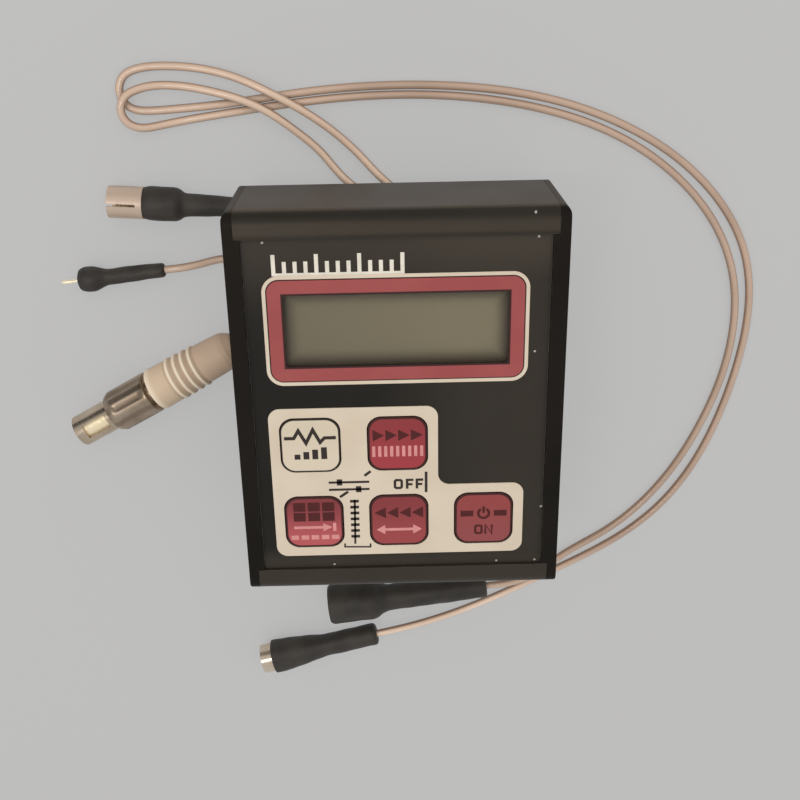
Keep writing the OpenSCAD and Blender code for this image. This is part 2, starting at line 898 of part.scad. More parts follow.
// Header under the board, with a hole for each lead's tail
module lead_header() {
  color("ivory")
    difference() {
      translate([outlet_bore[0], outlet_bore[1], header_low + header_size[2] / 2])
        cube(header_size, center = true);
      for (i = [0 : len(TAILS) - 1])
        translate([outlet_bore[0] + (i - 2) * tail_step, outlet_bore[1], header_low - 1])
          cylinder(r = wire_r + screw_gap, h = 3);
    }
}

// Tails of the leads, through the outlet's passages and up to the header
module inner_leads() {
  color(COPPER)
    for (i = [0 : len(TAILS) - 1]) {
      face = TAILS[i][0];
      mouth = TAILS[i][1];
      turn = TAILS[i][2];
      low = [turn[0], turn[1], foot_h];
      head = [outlet_bore[0] + (i - 2) * tail_step, outlet_bore[1], header_low + 1.5];
      high = [head[0], head[1], header_low - 4];
      sideways = face[0] == outlet_west ? [0, 1, 0] : [1, 0, 0];
      swept_tube([
        [face[0], face[1], exit_z], [mouth[0], mouth[1], exit_z], [turn[0], turn[1], exit_z + 1.5],
        low, (low + high) / 2, high, head
      ], wire_r, sideways);
    }
}

// Battery

module battery() {
  end_x = battery_x + battery_l / 2;
  mid_z = battery_low + battery_h / 2;
  color("#3b3f45") {
    translate([battery_x, battery_y, mid_z])
      along_x(battery_l)
        rounded_rect(battery_w, battery_h, 2);
    for (side = [-1, 1])
      translate([end_x - 1, battery_y + side * terminal_pitch / 2, mid_z])
        rotate([0, 90, 0])
          cylinder(r = terminal_r, h = terminal_l + 1);
  }
}

// Sheet clip on the back wall: a floor and two sides that hold the battery
module battery_clip() {
  clip_l = battery_l / 2;
  color("lightsteelblue")
    translate([battery_x, battery_y, 0])
      along_x(clip_l)
        difference() {
          translate([-battery_w / 2 - fit_gap - clip_t, back_inner])
            square([battery_w + 2 * fit_gap + 2 * clip_t, clip_t + 0.7 * battery_h]);
          translate([-battery_w / 2 - fit_gap, battery_low])
            square([battery_w + 2 * fit_gap, battery_h]);
        }
}

module battery_snap() {
  mid_z = battery_low + battery_h / 2;
  color("black")
    difference() {
      translate([snap_x, battery_y - snap_size[1] / 2, mid_z - snap_size[2] / 2])
        cube(snap_size);
      for (side = [-1, 1])
        translate([snap_x - 1, battery_y + side * terminal_pitch / 2, mid_z])
          rotate([0, 90, 0])
            cylinder(r = terminal_r + seat_gap, h = terminal_l + 1.5);
    }
}

// Two wires from the snap up to the board
module battery_wires() {
  start_x = snap_x + snap_size[0];
  mid_z = battery_low + battery_h / 2;
  color("red")
    for (side = [-1, 1]) {
      y = battery_y + side * 4;
      swept_tube([
        [start_x, y, mid_z], [start_x + 3, y, mid_z], [start_x + 6, y, mid_z + 3],
        [start_x + 7, y, (mid_z + board_low) / 2], [start_x + 7, y, board_low - 3],
        [start_x + 7, y, board_low]
      ], wire_r, [0, 1, 0]);
    }
}

// Feet, outlet and back screws

module rubber_feet() {
  color("#1c1c1c")
    for (place = FEET)
      translate([place[0], place[1], 0])
        difference() {
          cylinder(r1 = foot_r - 0.6, r2 = foot_r, h = foot_h);
          translate([0, 0, -1])
            cylinder(r = rear_head_r + 2 * screw_gap, h = foot_seat + 1);
          translate([0, 0, -1])
            cylinder(r = rear_screw_r + screw_gap, h = foot_h + 2);
        }
}

module rear_screws() {
  top = back_inner + rear_screw_out;
  color("dimgray") {
    for (place = FEET)
      translate([place[0], place[1], foot_seat])
        pan_screw(rear_screw_r, rear_head_r, rear_head_h, top - foot_seat);
    for (place = OUTLET_SCREWS)
      translate([place[0], place[1], outlet_seat])
        pan_screw(rear_screw_r, rear_head_r, rear_head_h, top - outlet_seat);
  }
}

// Places a child at each lead's exit from the outlet block, pointing outwards along +Z
module at_exits() {
  for (x = NORTH_EXITS)
    translate([x, outlet_north, exit_z])
      rotate([-90, 0, 0])
        children();
  for (y = WEST_EXITS)
    translate([outlet_west, y, exit_z])
      rotate([0, -90, 0])
        children();
}

// Block under the back wall: leads come in from two sides and turn up into the case
module outlet_block() {
  color("#222222")
    difference() {
      translate([outlet_west, outlet_north - outlet_l, outlet_low])
        cube([outlet_w, outlet_l, outlet_h]);
      translate([outlet_bore[0], outlet_bore[1], outlet_floor])
        cylinder(r = outlet_bore_r, h = outlet_h);
      for (x = NORTH_EXITS)
        translate([x, outlet_north + 1, exit_z])
          rotate([90, 0, 0])
            cylinder(r = lead_r, h = outlet_north + 1 - outlet_bore[1]);
      for (y = WEST_EXITS)
        translate([outlet_west - 1, y, exit_z])
          rotate([0, 90, 0])
            cylinder(r = lead_r, h = outlet_bore[0] + 1 - outlet_west);
      for (place = OUTLET_SCREWS)
        translate([place[0], place[1], outlet_low - 1]) {
          cylinder(r = rear_screw_r + screw_gap, h = outlet_h + 2);
          cylinder(r = rear_head_r + screw_gap, h = outlet_seat - outlet_low + 1);
        }
    }
}

module lead_reliefs() {
  color("#1f1f1f")
    at_exits()
      cylinder(r1 = relief_r, r2 = relief_tip_r, h = relief_l);
}

// Leads

module lead_a() {
  color(COPPER)
    swept_tube(ROUTE_A, lead_r);
}

module lead_b() {
  color(COPPER)
    swept_tube(ROUTE_B, lead_r);
}

module coax_lead() {
  color(COPPER)
    swept_tube(ROUTE_COAX, lead_r);
}

module pin_lead() {
  color(COPPER)
    swept_tube(ROUTE_PIN, lead_r);
}

module sensor_lead() {
  color(COPPER)
    swept_tube(ROUTE_SENSOR, lead_r);
}

// Plugs, each turned about its own axis with the lead's end at the origin
function route_end(route) = route[len(route) - 1];

module lay_socket_a() {
  lay(route_end(ROUTE_A), socket_a_turn, boot_a_r)
    children();
}

module lay_socket_b() {
  lay(route_end(ROUTE_B), socket_b_turn, boot_b_r)
    children();
}

module lay_coax() {
  lay(route_end(ROUTE_COAX), coax_turn, coax_boot_r)
    children();
}

module lay_pin() {
  lay(route_end(ROUTE_PIN), pin_turn, pin_boot_r)
    children();
}

module lay_sensor() {
  lay(route_end(ROUTE_SENSOR), sensor_turn, sensor_boot_r)
    children();
}

// Metal shell of an inline socket, bored from its mouth down to a step, with the insert behind it
module socket_shell(mouth) {
  color(NICKEL)
    difference() {
      translate([0, 0, mouth - socket_seat_l])
        cylinder(r = shell_r, h = socket_seat_l);
      translate([0, 0, mouth - socket_depth])
        cylinder(r = socket_bore_r, h = socket_depth + 1);
      translate([0, 0, mouth - socket_seat_l - 1])
        cylinder(r = insert_r + seat_gap, h = socket_seat_l);
    }
}

// Insulating disc with a contact hole, at the bottom of the bore
module socket_insert(mouth) {
  color("#8a7350")
    sleeve_tube(insert_r, contact_r, mouth - socket_depth - socket_insert_l, mouth - socket_depth);
}

// Boot with a slim neck that swells over the shell; the swell's front end is open for the shell
module socket_boot(outline, shell_from) {
  color("#35322f")
    difference() {
      turned(outline);
      translate([0, 0, shell_from - seat_gap])
        cylinder(r = shell_r + seat_gap, h = boot_b_l);
    }
}

socket_a_mouth = boot_a_l + shell_a_out;
socket_b_mouth = boot_b_l - fit_gap;

module socket_a_boot() {
  neck_r = boot_a_r - 2;
  lay_socket_a()
    socket_boot([
      [0, 0], [neck_r - 0.8, 0], [neck_r, 0.8], [neck_r, boot_a_l / 2], [neck_r + 0.4, boot_a_l / 2 + 3],
      [boot_a_r - 0.2, boot_a_l - 6], [boot_a_r, boot_a_l - 2], [boot_a_r, boot_a_l], [0, boot_a_l]
    ], socket_a_mouth - socket_seat_l);
}

module socket_a_shell() {
  lay_socket_a()
    socket_shell(socket_a_mouth);
}

module socket_a_insert() {
  lay_socket_a()
    socket_insert(socket_a_mouth);
}

module socket_b_boot() {
  neck_l = boot_b_l - boot_b_wide;
  neck_r = boot_b_r - 2.5;
  lay_socket_b()
    socket_boot([
      [0, 0], [neck_r - 0.9, 0], [neck_r - 0.2, 0.7], [neck_r + 0.1, neck_l - 1.5], [boot_b_r - 0.6, neck_l],
      [boot_b_r, neck_l + 0.6], [boot_b_r, boot_b_l - 0.8], [boot_b_r - 0.8, boot_b_l], [0, boot_b_l]
    ], socket_b_mouth - socket_seat_l);
}

module socket_b_shell() {
  lay_socket_b()
    socket_shell(socket_b_mouth);
}

module socket_b_insert() {
  lay_socket_b()
    socket_insert(socket_b_mouth);
}

// Coax plug: the shell starts inside the boot
coax_seat_l = 8;
coax_floor_l = 4;

module coax_boot() {
  neck_l = coax_boot_l - coax_wide;
  neck_r = coax_boot_r - 1.7;
  lay_coax()
    color("#33312f")
      difference() {
        turned([
          [0, 0], [neck_r - 1, 0], [neck_r - 0.5, 0.5], [neck_r, neck_l - 1.2], [coax_boot_r - 0.5, neck_l],
          [coax_boot_r, neck_l + 0.6], [coax_boot_r, coax_boot_l - 1.6],
          [coax_boot_r - 0.3, coax_boot_l - 0.5], [coax_boot_r - 0.5, coax_boot_l], [0, coax_boot_l]
        ]);
        translate([0, 0, coax_boot_l - coax_seat_l - seat_gap])
          cylinder(r = coax_shell_r - 0.4 + seat_gap, h = coax_boot_l);
      }
}

// Skirt with four slits round a clear hollow, and a closed foot that seats in the boot
module coax_shell() {
  inner_r = coax_shell_r - 0.8;
  start = coax_boot_l - coax_seat_l;
  lay_coax()
    color(NICKEL)
      difference() {
        union() {
          translate([0, 0, start])
            cylinder(r = coax_shell_r - 0.4, h = coax_seat_l);
          translate([0, 0, coax_boot_l + seat_gap])
            cylinder(r = coax_shell_r, h = coax_shell_l - seat_gap);
          translate([0, 0, coax_boot_l - 1])
            cylinder(r = coax_shell_r - 0.4, h = 2);
        }
        translate([0, 0, start + coax_floor_l])
          cylinder(r = inner_r, h = coax_boot_l);
        translate([0, 0, start - 1])
          cylinder(r = coax_pin_r + seat_gap, h = coax_floor_l + 2);
        for (turn = [0, 90])
          rotate([0, 0, turn])
            translate([-coax_boot_r, -0.4, coax_boot_l + 2])
              cube([2 * coax_boot_r, 0.8, coax_shell_l]);
      }
}

module coax_pin() {
  start = coax_boot_l - coax_seat_l;
  pin_end = coax_boot_l + coax_shell_l - 1;
  lay_coax()
    color("goldenrod")
      turned([
        [0, start], [coax_pin_r, start], [coax_pin_r, pin_end - 1], [coax_pin_r - 0.8, pin_end], [0, pin_end]
      ]);
}

// Pin plug
pin_seat_l = 8;
pin_seat_r = pin_r + 0.4;

module pin_boot() {
  swell = 8.5;
  neck_r = pin_boot_r - 1.4;
  lay_pin()
    color("#35322f")
      difference() {
        turned([
          [0, 0], [neck_r - 0.9, 0], [neck_r - 0.4, 0.6], [neck_r, pin_boot_l - swell],
          [pin_boot_r - 0.3, pin_boot_l - swell + 2.4], [pin_boot_r, pin_boot_l - swell + 3.4],
          [pin_boot_r, pin_boot_l - 1.8], [pin_boot_r - 0.7, pin_boot_l - 0.4],
          [pin_boot_r - 1.4, pin_boot_l], [0, pin_boot_l]
        ]);
        translate([0, 0, pin_boot_l - pin_seat_l])
          cylinder(r = pin_seat_r + seat_gap, h = pin_boot_l);
      }
}

module pin_contact() {
  tip = pin_boot_l + pin_l;
  start = pin_boot_l - pin_seat_l;
  lay_pin()
    color("gold")
      turned([
        [0, start], [pin_seat_r, start], [pin_seat_r, pin_boot_l], [pin_r, pin_boot_l],
        [pin_r, tip - pin_r], [pin_r / 2, tip], [0, tip]
      ]);
}

// Sensor plug
sensor_seat_l = 10;
insert_tail = 6;

// Boot that tapers to the lead, with four raised rings
module sensor_boot() {
  rings = 4;
  ring_first = 16;
  ring_pitch = 2.8;
  ring_half = 0.7;
  ring_up = 0.3;
  slim_r = sensor_boot_r - 1;
  function wall_r(z) = slim_r + (sensor_boot_r - slim_r) * (z - 6) / (sensor_boot_l - 6);
  lay_sensor()
    color(CREAM)
      difference() {
        turned(concat(
          [[0, 0], [lead_r + 1, 0], [slim_r - 1.6, 2.4], [slim_r - 0.4, 4.4], [slim_r, 6]],
          [for (i = [0 : rings - 1]) let (z = ring_first + i * ring_pitch) each [
            [wall_r(z - ring_half), z - ring_half - 0.3], [wall_r(z) + ring_up, z - ring_half],
            [wall_r(z) + ring_up, z + ring_half], [wall_r(z + ring_half), z + ring_half + 0.3]
          ]],
          [[sensor_boot_r, sensor_boot_l - 0.6], [sensor_boot_r - 0.6, sensor_boot_l], [0, sensor_boot_l]]
        ));
        translate([0, 0, sensor_boot_l - sensor_seat_l - seat_gap])
          cylinder(r = nose_r + seat_gap, h = sensor_boot_l);
      }
}

// Fluted sleeve that slides back towards the boot to unlock the plug
module sensor_sleeve() {
  flutes = 8;
  start = nose_start - sleeve_l;
  lay_sensor()
    color(NICKEL)
      difference() {
        turned([
          [0, start], [sleeve_r - 0.3, start], [sleeve_r, start + 0.3], [sleeve_r, nose_start - 1.6],
          [sleeve_r - 0.8, nose_start], [0, nose_start]
        ]);
        translate([0, 0, start - 1])
          cylinder(r = sleeve_bore_r, h = sleeve_l + 2);
        for (i = [0 : flutes - 1])
          rotate([0, 0, 360 * (i + 0.5) / flutes])
            translate([sleeve_r + 2.6, 0, start + 1.5])
              cylinder(r = 3, h = sleeve_l - 4.5);
      }
}

// Nose shell: seats in the boot, carries the sleeve on two lands, and has a key slot on top.
// Its wall starts to one side of the slot.
module sensor_shell() {
  start = sensor_boot_l - sensor_seat_l;
  land_r = sleeve_bore_r - seat_gap;
  land_l = 3;
  lay_sensor()
    color(NICKEL)
      difference() {
        union() {
          translate([0, 0, start])
            rotate([0, 0, nose_seam])
              cylinder(r = nose_r, h = nose_end - start);
          for (z = [nose_start - sleeve_l, nose_start - land_l])
            translate([0, 0, z])
              cylinder(r = land_r, h = land_l);
        }
        translate([0, 0, nose_start - insert_l])
          cylinder(r = nose_bore_r, h = nose_end);
        translate([0, 0, start - 1])
          cylinder(r = contact_r + 1, h = nose_end);
        translate([-2 * nose_r, -slot_w / 2, nose_end - slot_l - slot_tip])
          cube([2 * nose_r, slot_w, slot_l]);
      }
}

// Gold-plated contact block on a tail that goes back into the boot
module sensor_insert() {
  base = nose_start - insert_l;
  lay_sensor()
    color("gold") {
      translate([0, 0, base])
        cylinder(r = nose_bore_r - seat_gap, h = nose_l + insert_l - insert_tip);
      translate([0, 0, base - insert_tail])
        cylinder(r = contact_r + 1 - seat_gap, h = insert_tail + 1);
    }
}

case_extrusion();
end_plate_left();
end_plate_right();
end_plate_screws();
front_panel();
front_film();
display_outline();
display_bezel();
keypad_film();
display_key();
faster_key();
marker_key();
slower_key();
power_key();
display_dome();
faster_dome();
marker_dome();
slower_dome();
power_dome();
window_lens();
display_glass();
display_holder();
contact_strips();
main_board();
board_standoffs();
board_screws();
board_chips();
quartz_crystal();
capacitors();
lead_header();
battery();
battery_clip();
battery_snap();
battery_wires();
rubber_feet();
rear_screws();
outlet_block();
lead_reliefs();
inner_leads();
lead_a();
lead_b();
coax_lead();
pin_lead();
sensor_lead();
socket_a_boot();
socket_a_shell();
socket_a_insert();
socket_b_boot();
socket_b_shell();
socket_b_insert();
coax_boot();
coax_shell();
coax_pin();
pin_boot();
pin_contact();
sensor_boot();
sensor_sleeve();
sensor_shell();
sensor_insert();
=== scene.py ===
import bmesh
import bpy
import numpy as np
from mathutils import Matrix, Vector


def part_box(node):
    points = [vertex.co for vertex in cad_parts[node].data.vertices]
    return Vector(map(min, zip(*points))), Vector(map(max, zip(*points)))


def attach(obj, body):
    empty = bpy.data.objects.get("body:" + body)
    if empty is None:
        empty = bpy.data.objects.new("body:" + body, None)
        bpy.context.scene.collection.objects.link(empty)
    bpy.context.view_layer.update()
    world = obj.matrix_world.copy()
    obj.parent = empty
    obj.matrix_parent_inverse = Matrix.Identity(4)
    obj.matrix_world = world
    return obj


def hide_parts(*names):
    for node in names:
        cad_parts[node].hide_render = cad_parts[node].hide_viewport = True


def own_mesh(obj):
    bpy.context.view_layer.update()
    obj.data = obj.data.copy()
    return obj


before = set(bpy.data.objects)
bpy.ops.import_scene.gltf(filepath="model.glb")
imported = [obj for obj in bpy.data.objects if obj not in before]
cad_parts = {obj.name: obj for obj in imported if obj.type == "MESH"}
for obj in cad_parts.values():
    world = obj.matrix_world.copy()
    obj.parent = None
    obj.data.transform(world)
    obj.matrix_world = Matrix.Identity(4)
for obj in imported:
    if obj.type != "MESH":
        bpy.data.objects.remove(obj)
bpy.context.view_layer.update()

# Studio
# A wide sheet of matt grey card carries the instrument. A large soft lamp hangs beyond its head, a small
# lamp and a dark cloth to the left give the metal its shine, and the camera looks down at the front.
mm = 0.001


class Shade:
    """One socket of a material's nodes. Arithmetic on shades adds Math nodes, and node() any other node."""

    def __init__(self, tree, socket=None):
        self.tree = tree
        self.socket = socket

    def node(self, kind, settings=(), values=(), output=0):
        """Adds a node: its settings come first, then each input's value or link. Returns one output."""
        node = self.tree.nodes.new("ShaderNode" + kind)
        for name, setting in dict(settings).items():
            setattr(node, name, setting)
        for key, value in dict(values).items():
            if isinstance(value, Shade):
                self.tree.links.new(value.socket, node.inputs[key])
            else:
                node.inputs[key].default_value = value
        return Shade(self.tree, node.outputs[output] if len(node.outputs) else None)

    def math(self, operation, *others):
        return self.node("Math", {"operation": operation}, enumerate((self, *others)))

    def __add__(self, other):
        return self.math("ADD", other)

    def __sub__(self, other):
        return self.math("SUBTRACT", other)

    def __rsub__(self, other):
        return self.node("Math", {"operation": "SUBTRACT"}, {0: other, 1: self})

    def __mul__(self, other):
        return self.math("MULTIPLY", other)

    __radd__ = __add__
    __rmul__ = __mul__

    def axis(self, name):
        """One coordinate of a place or a direction: X, Y or Z."""
        return self.node("SeparateXYZ", {}, {"Vector": self}, name)

    def rise(self, low, high):
        """Climbs smoothly from 0 at the low value to 1 at the high one."""
        limits = {"Value": self, "From Min": low, "From Max": high}
        return self.node("MapRange", {"interpolation_type": "SMOOTHSTEP"}, limits)

    def mix(self, first, second):
        """Blends two colours: the first where this is 0, the second where it is 1."""
        return self.node("Mix", {"data_type": "RGBA"}, {0: self, 6: first, 7: second}, 2)

    def noise(self, scale, detail=2.0):
        """Soft random values from 0 to 1, with this shade as the place and scale as features a metre."""
        return self.node("TexNoise", {}, {"Vector": self, "Scale": scale, "Detail": detail})

    def bump(self, strength, depth, **under):
        """A normal that follows this shade as a height of depth millimetres, over the normal under it."""
        values = {"Strength": strength, "Distance": depth * mm, "Height": self, **under}
        return self.node("Bump", {}, values)


def tone(red, green, blue):
    """Gives the linear colour that shows as these screen values from 0 to 255."""
    value = np.array((red, green, blue)) / 255
    linear = np.where(value < 0.04045, value / 12.92, ((value + 0.055) / 1.055) ** 2.4)
    return (*linear.tolist(), 1.0)


def new_material(name):
    """Makes a material without nodes and returns it with a shade to start from."""
    material = bpy.data.materials.new(name)
    material.use_nodes = True
    material.node_tree.nodes.clear()
    return material, Shade(material.node_tree)


def looking_ray(start):
    """Is 1 for the rays that show the background: straight from the camera, mirrored or through glass."""
    seen = start.node("LightPath", output="Is Camera Ray")
    for ray in ("Is Glossy Ray", "Is Transmission Ray"):
        seen = seen.math("MAXIMUM", start.node("LightPath", output=ray))
    return seen


def flat_sheet(name, middle, across, up, material):
    """Makes a flat sheet for the studio: its four corners stand off the middle by across and by up."""
    sides = np.array([(-1, -1), (1, -1), (1, 1), (-1, 1)])
    corners = np.array(middle) + sides @ np.array((across, up))
    mesh = bpy.data.meshes.new(name)
    mesh.from_pydata(corners.tolist(), [], [(0, 1, 2, 3)])
    mesh.materials.append(material)
    piece = bpy.data.objects.new(name, mesh)
    bpy.context.collection.objects.link(piece)
    return piece


card_grey = tone(191, 191, 191)
card_half = 2.0
shadow_ease = 0.72
card_paper, start = new_material("grey_card")
card_lit = start.node("BsdfDiffuse", {}, {"Color": card_grey})
card_even = start.node("Emission", {}, {"Color": card_grey})
card_share = looking_ray(start) * shadow_ease
card_surface = start.node("MixShader", {}, {0: card_share, 1: card_lit, 2: card_even})
start.node("OutputMaterial", {}, {"Surface": card_surface})
card = flat_sheet("grey_card", (0, 0, 0), (card_half, 0, 0), (0, card_half, 0), card_paper)

sky_white = (1.0, 0.985, 0.96, 1.0)
sky_level = 0.75
sky = bpy.data.worlds.new("even_sky")
sky.use_nodes = True
sky.node_tree.nodes.clear()
bpy.context.scene.world = sky
start = Shade(sky.node_tree)
sky_light = start.node("Background", {}, {"Color": sky_white, "Strength": sky_level})
sky_seen = start.node("Background", {}, {"Color": card_grey, "Strength": 1.0})
sky_surface = start.node("MixShader", {}, {0: looking_ray(start), 1: sky_light, 2: sky_seen})
start.node("OutputWorld", {}, {"Surface": sky_surface})

lamp_white = (1.0, 0.96, 0.9)
for lamp_name, lamp_place, lamp_side, lamp_watts, lamp_shines in (
    ("soft_lamp", (0.1, 0.5, 0.85), 0.8, 2.5, False),
    ("shine_lamp", (-0.33, 0.08, 0.9), 0.22, 1.1, True),
):
    lamp_data = bpy.data.lights.new(lamp_name, "AREA")
    lamp_data.shape = "SQUARE"
    lamp_data.size = lamp_side
    lamp_data.energy = lamp_watts
    lamp_data.color = lamp_white
    lamp = bpy.data.objects.new(lamp_name, lamp_data)
    lamp.location = lamp_place
    lamp.rotation_euler = (-lamp.location).to_track_quat("-Z", "Y").to_euler()
    lamp.visible_glossy = lamp_shines
    bpy.context.collection.objects.link(lamp)

flag_middle = (-0.36, 0.5, 0.22)
flag_across = (0.2835, 0.203, 0)
flag_up = (0, 0, 0.2)
flag_cloth, start = new_material("dark_flag")
flag_dark = start.node("BsdfDiffuse", {}, {"Color": tone(28, 24, 20)})
start.node("OutputMaterial", {}, {"Surface": flag_dark})
flag = flat_sheet("dark_flag", flag_middle, flag_across, flag_up, flag_cloth)
flag.visible_camera = False
flag.visible_diffuse = False
flag.visible_shadow = False

camera_data = bpy.data.cameras.new("camera")
camera_data.sensor_width = 36.0
camera_data.lens = 48.133
camera = bpy.data.objects.new("camera", camera_data)
camera.location = np.array((-3.192, 123.512, 332.292)) * mm
camera.rotation_euler = np.radians((-22.99, -1.0685, -0.9685))
bpy.context.collection.objects.link(camera)
bpy.context.scene.camera = camera
bpy.context.scene.view_settings.view_transform = "Standard"

# Case
# The body is one aluminium extrusion with a lip above and below the front panel, closed by an end plate on
# each side that has a bar before the panel. The body is sprayed satin black and the plates a duller one,
# rubbed and chipped along the edges, with a painted sheen on the head wall and painted shade and painted
# light on the lip at the head.
paint_black = tone(45, 41, 36)
paint_rubbed = tone(92, 86, 78)
plate_black = tone(17, 16, 15)
plate_rubbed = tone(84, 78, 70)
bare_metal = tone(206, 200, 190)
paint_roughness = 0.42
paint_sheen = (1.0, 0.86, 0.72, 1.0)
edge_round = 0.45 * mm
lip_shaded = tone(27, 25, 22)
lip_lit = tone(53, 48, 42)
lip_start = (51.4 * mm, 52 * mm)
lip_brightens = (51.6 * mm, 53.2 * mm)
lip_darkens = (54.3 * mm, 57.2 * mm)
head_sheen_back = tone(54, 47, 39)
head_sheen_front = tone(66, 57, 48)
head_wall_start = (58 * mm, 58.8 * mm)
head_wall_height = (12 * mm, 44 * mm)
chip_size = 0.5 * mm
chip_depth = 0.65
chip_floor = 48 * mm
chip_places = [
    (-36.3, 50.5), (37.3, 57.4), (38.4, 50.7), (38.3, 17.6),
    (-20.9, -50.5), (28.7, -50.6), (40.4, -50.5), (41.8, -32.1),
]


def finish(material, start, inputs):
    """Ends a material in one surface shader: each input is a number, a colour or a shade."""
    shader = start.node("BsdfPrincipled", {}, inputs)
    start.node("OutputMaterial", {}, {"Surface": shader})
    return material


def dress(names, material):
    """Gives the solids of these names the material."""
    for name in names:
        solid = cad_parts[name]
        solid.data.materials.clear()
        solid.data.materials.append(material)


def chips(place):
    """Is the chip depth in small ragged spots round the chip places, on the front edges only."""
    front = place.axis("Z").rise(chip_floor, chip_floor + 0.1 * mm)
    flat = place.node("VectorMath", {"operation": "MULTIPLY"}, {0: place, 1: (1, 1, 0)}, "Vector")
    near = None
    for x, y in chip_places:
        spot = {0: flat, 1: (x * mm, y * mm, 0)}
        distance = place.node("VectorMath", {"operation": "DISTANCE"}, spot, "Value")
        near = distance if near is None else near.math("MINIMUM", distance)
    ragged = near + (place.noise(1800) - 0.5) * chip_size
    return (1 - ragged.rise(0.55 * chip_size, 0.75 * chip_size)) * front * chip_depth


def paint(name, colour, worn, gloss, lipped):
    """Sprayed paint on metal: slow clouds, orange peel, bare chips, a painted sheen on the wall that faces
    the head, and rubbed edges where the rounded normal leaves the face's. Where it is lipped, painted shade
    darkens the lip at the head along both of its sides, and painted light brightens its middle."""
    material, start = new_material(name)
    place = start.node("TexCoord", output="Object")
    level = place.axis("Y")
    face = start.node("NewGeometry", output="Normal")
    rounded = start.node("Bevel", {"samples": 6}, {"Radius": edge_round})
    same_way = start.node("VectorMath", {"operation": "DOT_PRODUCT"}, {0: rounded, 1: face}, "Value")
    rubbed = (1 - same_way).rise(0.03, 0.3) * place.noise(260, 4).rise(0.42, 0.68)
    clouds = place.noise(45, 3)
    # Painted shade darkens the lip at the head along both of its sides, and painted light brightens its
    # middle.
    lip_middle = level.rise(*lip_brightens) * (1 - level.rise(*lip_darkens))
    mixed = (level.rise(*lip_start) * lipped).mix(colour, lip_middle.mix(lip_shaded, lip_lit))
    # A painted sheen lightens the wall that faces the head, more towards the front.
    head_sheen_share = face.axis("Y").rise(0.85, 0.98) * level.rise(*head_wall_start)
    mixed = head_sheen_share.mix(mixed, place.axis("Z").rise(*head_wall_height).mix(head_sheen_back, head_sheen_front))
    mixed = (rubbed * 0.75 + clouds * 0.12).mix(mixed, worn)
    return finish(material, start, {
        "Base Color": chips(place).mix(mixed, bare_metal),
        "Roughness": paint_roughness + (clouds - 0.5) * 0.16 + rubbed * 0.1,
        "Specular IOR Level": gloss,
        "Specular Tint": paint_sheen,
        "Normal": place.noise(2600).bump(0.35, 0.03, Normal=rounded),
    })


case_paint = paint("satin_black_paint", paint_black, paint_rubbed, 0.35, 1.0)
plate_paint = paint("dull_black_paint", plate_black, plate_rubbed, 0.1, 0.0)
dress(["case_extrusion"], case_paint)
dress(["end_plate_left", "end_plate_right"], plate_paint)

# Screws, panel and small metal
# Countersunk steel screws with black oxide hold the end plates, and pan screws hold the feet and the board.
# The panel is mill aluminium and the stand-offs are hexagonal brass.


def stock(name, colour, second, grain, roughness, metallic=0.0, relief=0.02, edge=0.15, gloss=0.5):
    """A finish for small made parts: the colour drifts to the second one in clouds twelve grains wide, and
    the fine grain moves the roughness and the height. Relief and edge rounding are in millimetres."""
    material, start = new_material(name)
    place = start.node("TexCoord", output="Object")
    grains = place.noise(grain)
    drift = place.noise(grain / 12, 3).rise(0.3, 0.7)
    rounded = start.node("Bevel", {"samples": 4}, {"Radius": edge * mm})
    return finish(material, start, {
        "Base Color": drift.mix(colour, second),
        "Roughness": roughness + (grains - 0.5) * 0.2,
        "Metallic": metallic,
        "Specular IOR Level": gloss,
        "Normal": grains.bump(0.5, relief, Normal=rounded),
    })


black_oxide = stock("black_oxide_steel", tone(70, 68, 66), tone(96, 92, 88), 2500, 0.38, 0.9)
mill_metal = stock("mill_aluminium", tone(182, 180, 176), tone(165, 163, 160), 1800, 0.42, 0.95)
brass = stock("turned_brass", tone(186, 150, 84), tone(160, 124, 66), 2200, 0.3, 1.0)
dress(["end_plate_screws", "rear_screws", "board_screws"], black_oxide)
dress(["front_panel"], mill_metal)
dress(["board_standoffs"], brass)

# Board and battery
# A green glass-fibre board hangs under the panel with its chips, crystal and capacitors downwards. A flat
# 9 V battery lies in a black clip on the back wall and feeds the board through a snap and two wires.
board_green = stock("green_board", tone(38, 78, 48), tone(30, 64, 40), 1500, 0.35)
moulded_black = stock("moulded_black", tone(40, 39, 38), tone(50, 49, 47), 3200, 0.55)
white_moulding = stock("white_moulding", tone(214, 210, 200), tone(204, 198, 186), 1500, 0.45)
bright_can = stock("bright_can", tone(196, 194, 190), tone(178, 176, 172), 1600, 0.28, 1.0)
blue_sleeve = stock("blue_sleeve", tone(38, 52, 96), tone(30, 42, 80), 1500, 0.35)
battery_coat = stock("battery_coat", tone(66, 68, 72), tone(84, 86, 90), 900, 0.33, 0.6)
red_wire = stock("red_wire", tone(150, 40, 36), tone(128, 32, 30), 1800, 0.4)
dress(["main_board"], board_green)
dress(["board_chips", "battery_clip", "battery_snap"], moulded_black)
dress(["lead_header"], white_moulding)
dress(["quartz_crystal"], bright_can)
dress(["capacitors"], blue_sleeve)
dress(["battery"], battery_coat)
dress(["battery_wires"], red_wire)

# Feet and lead outlet
# Four turned rubber feet stand the case off the table. Under its back wall a moulded block gathers the
# leads, and each leaves it through a ribbed rubber relief that tapers down to the lead.
weld_gap = 1e-7


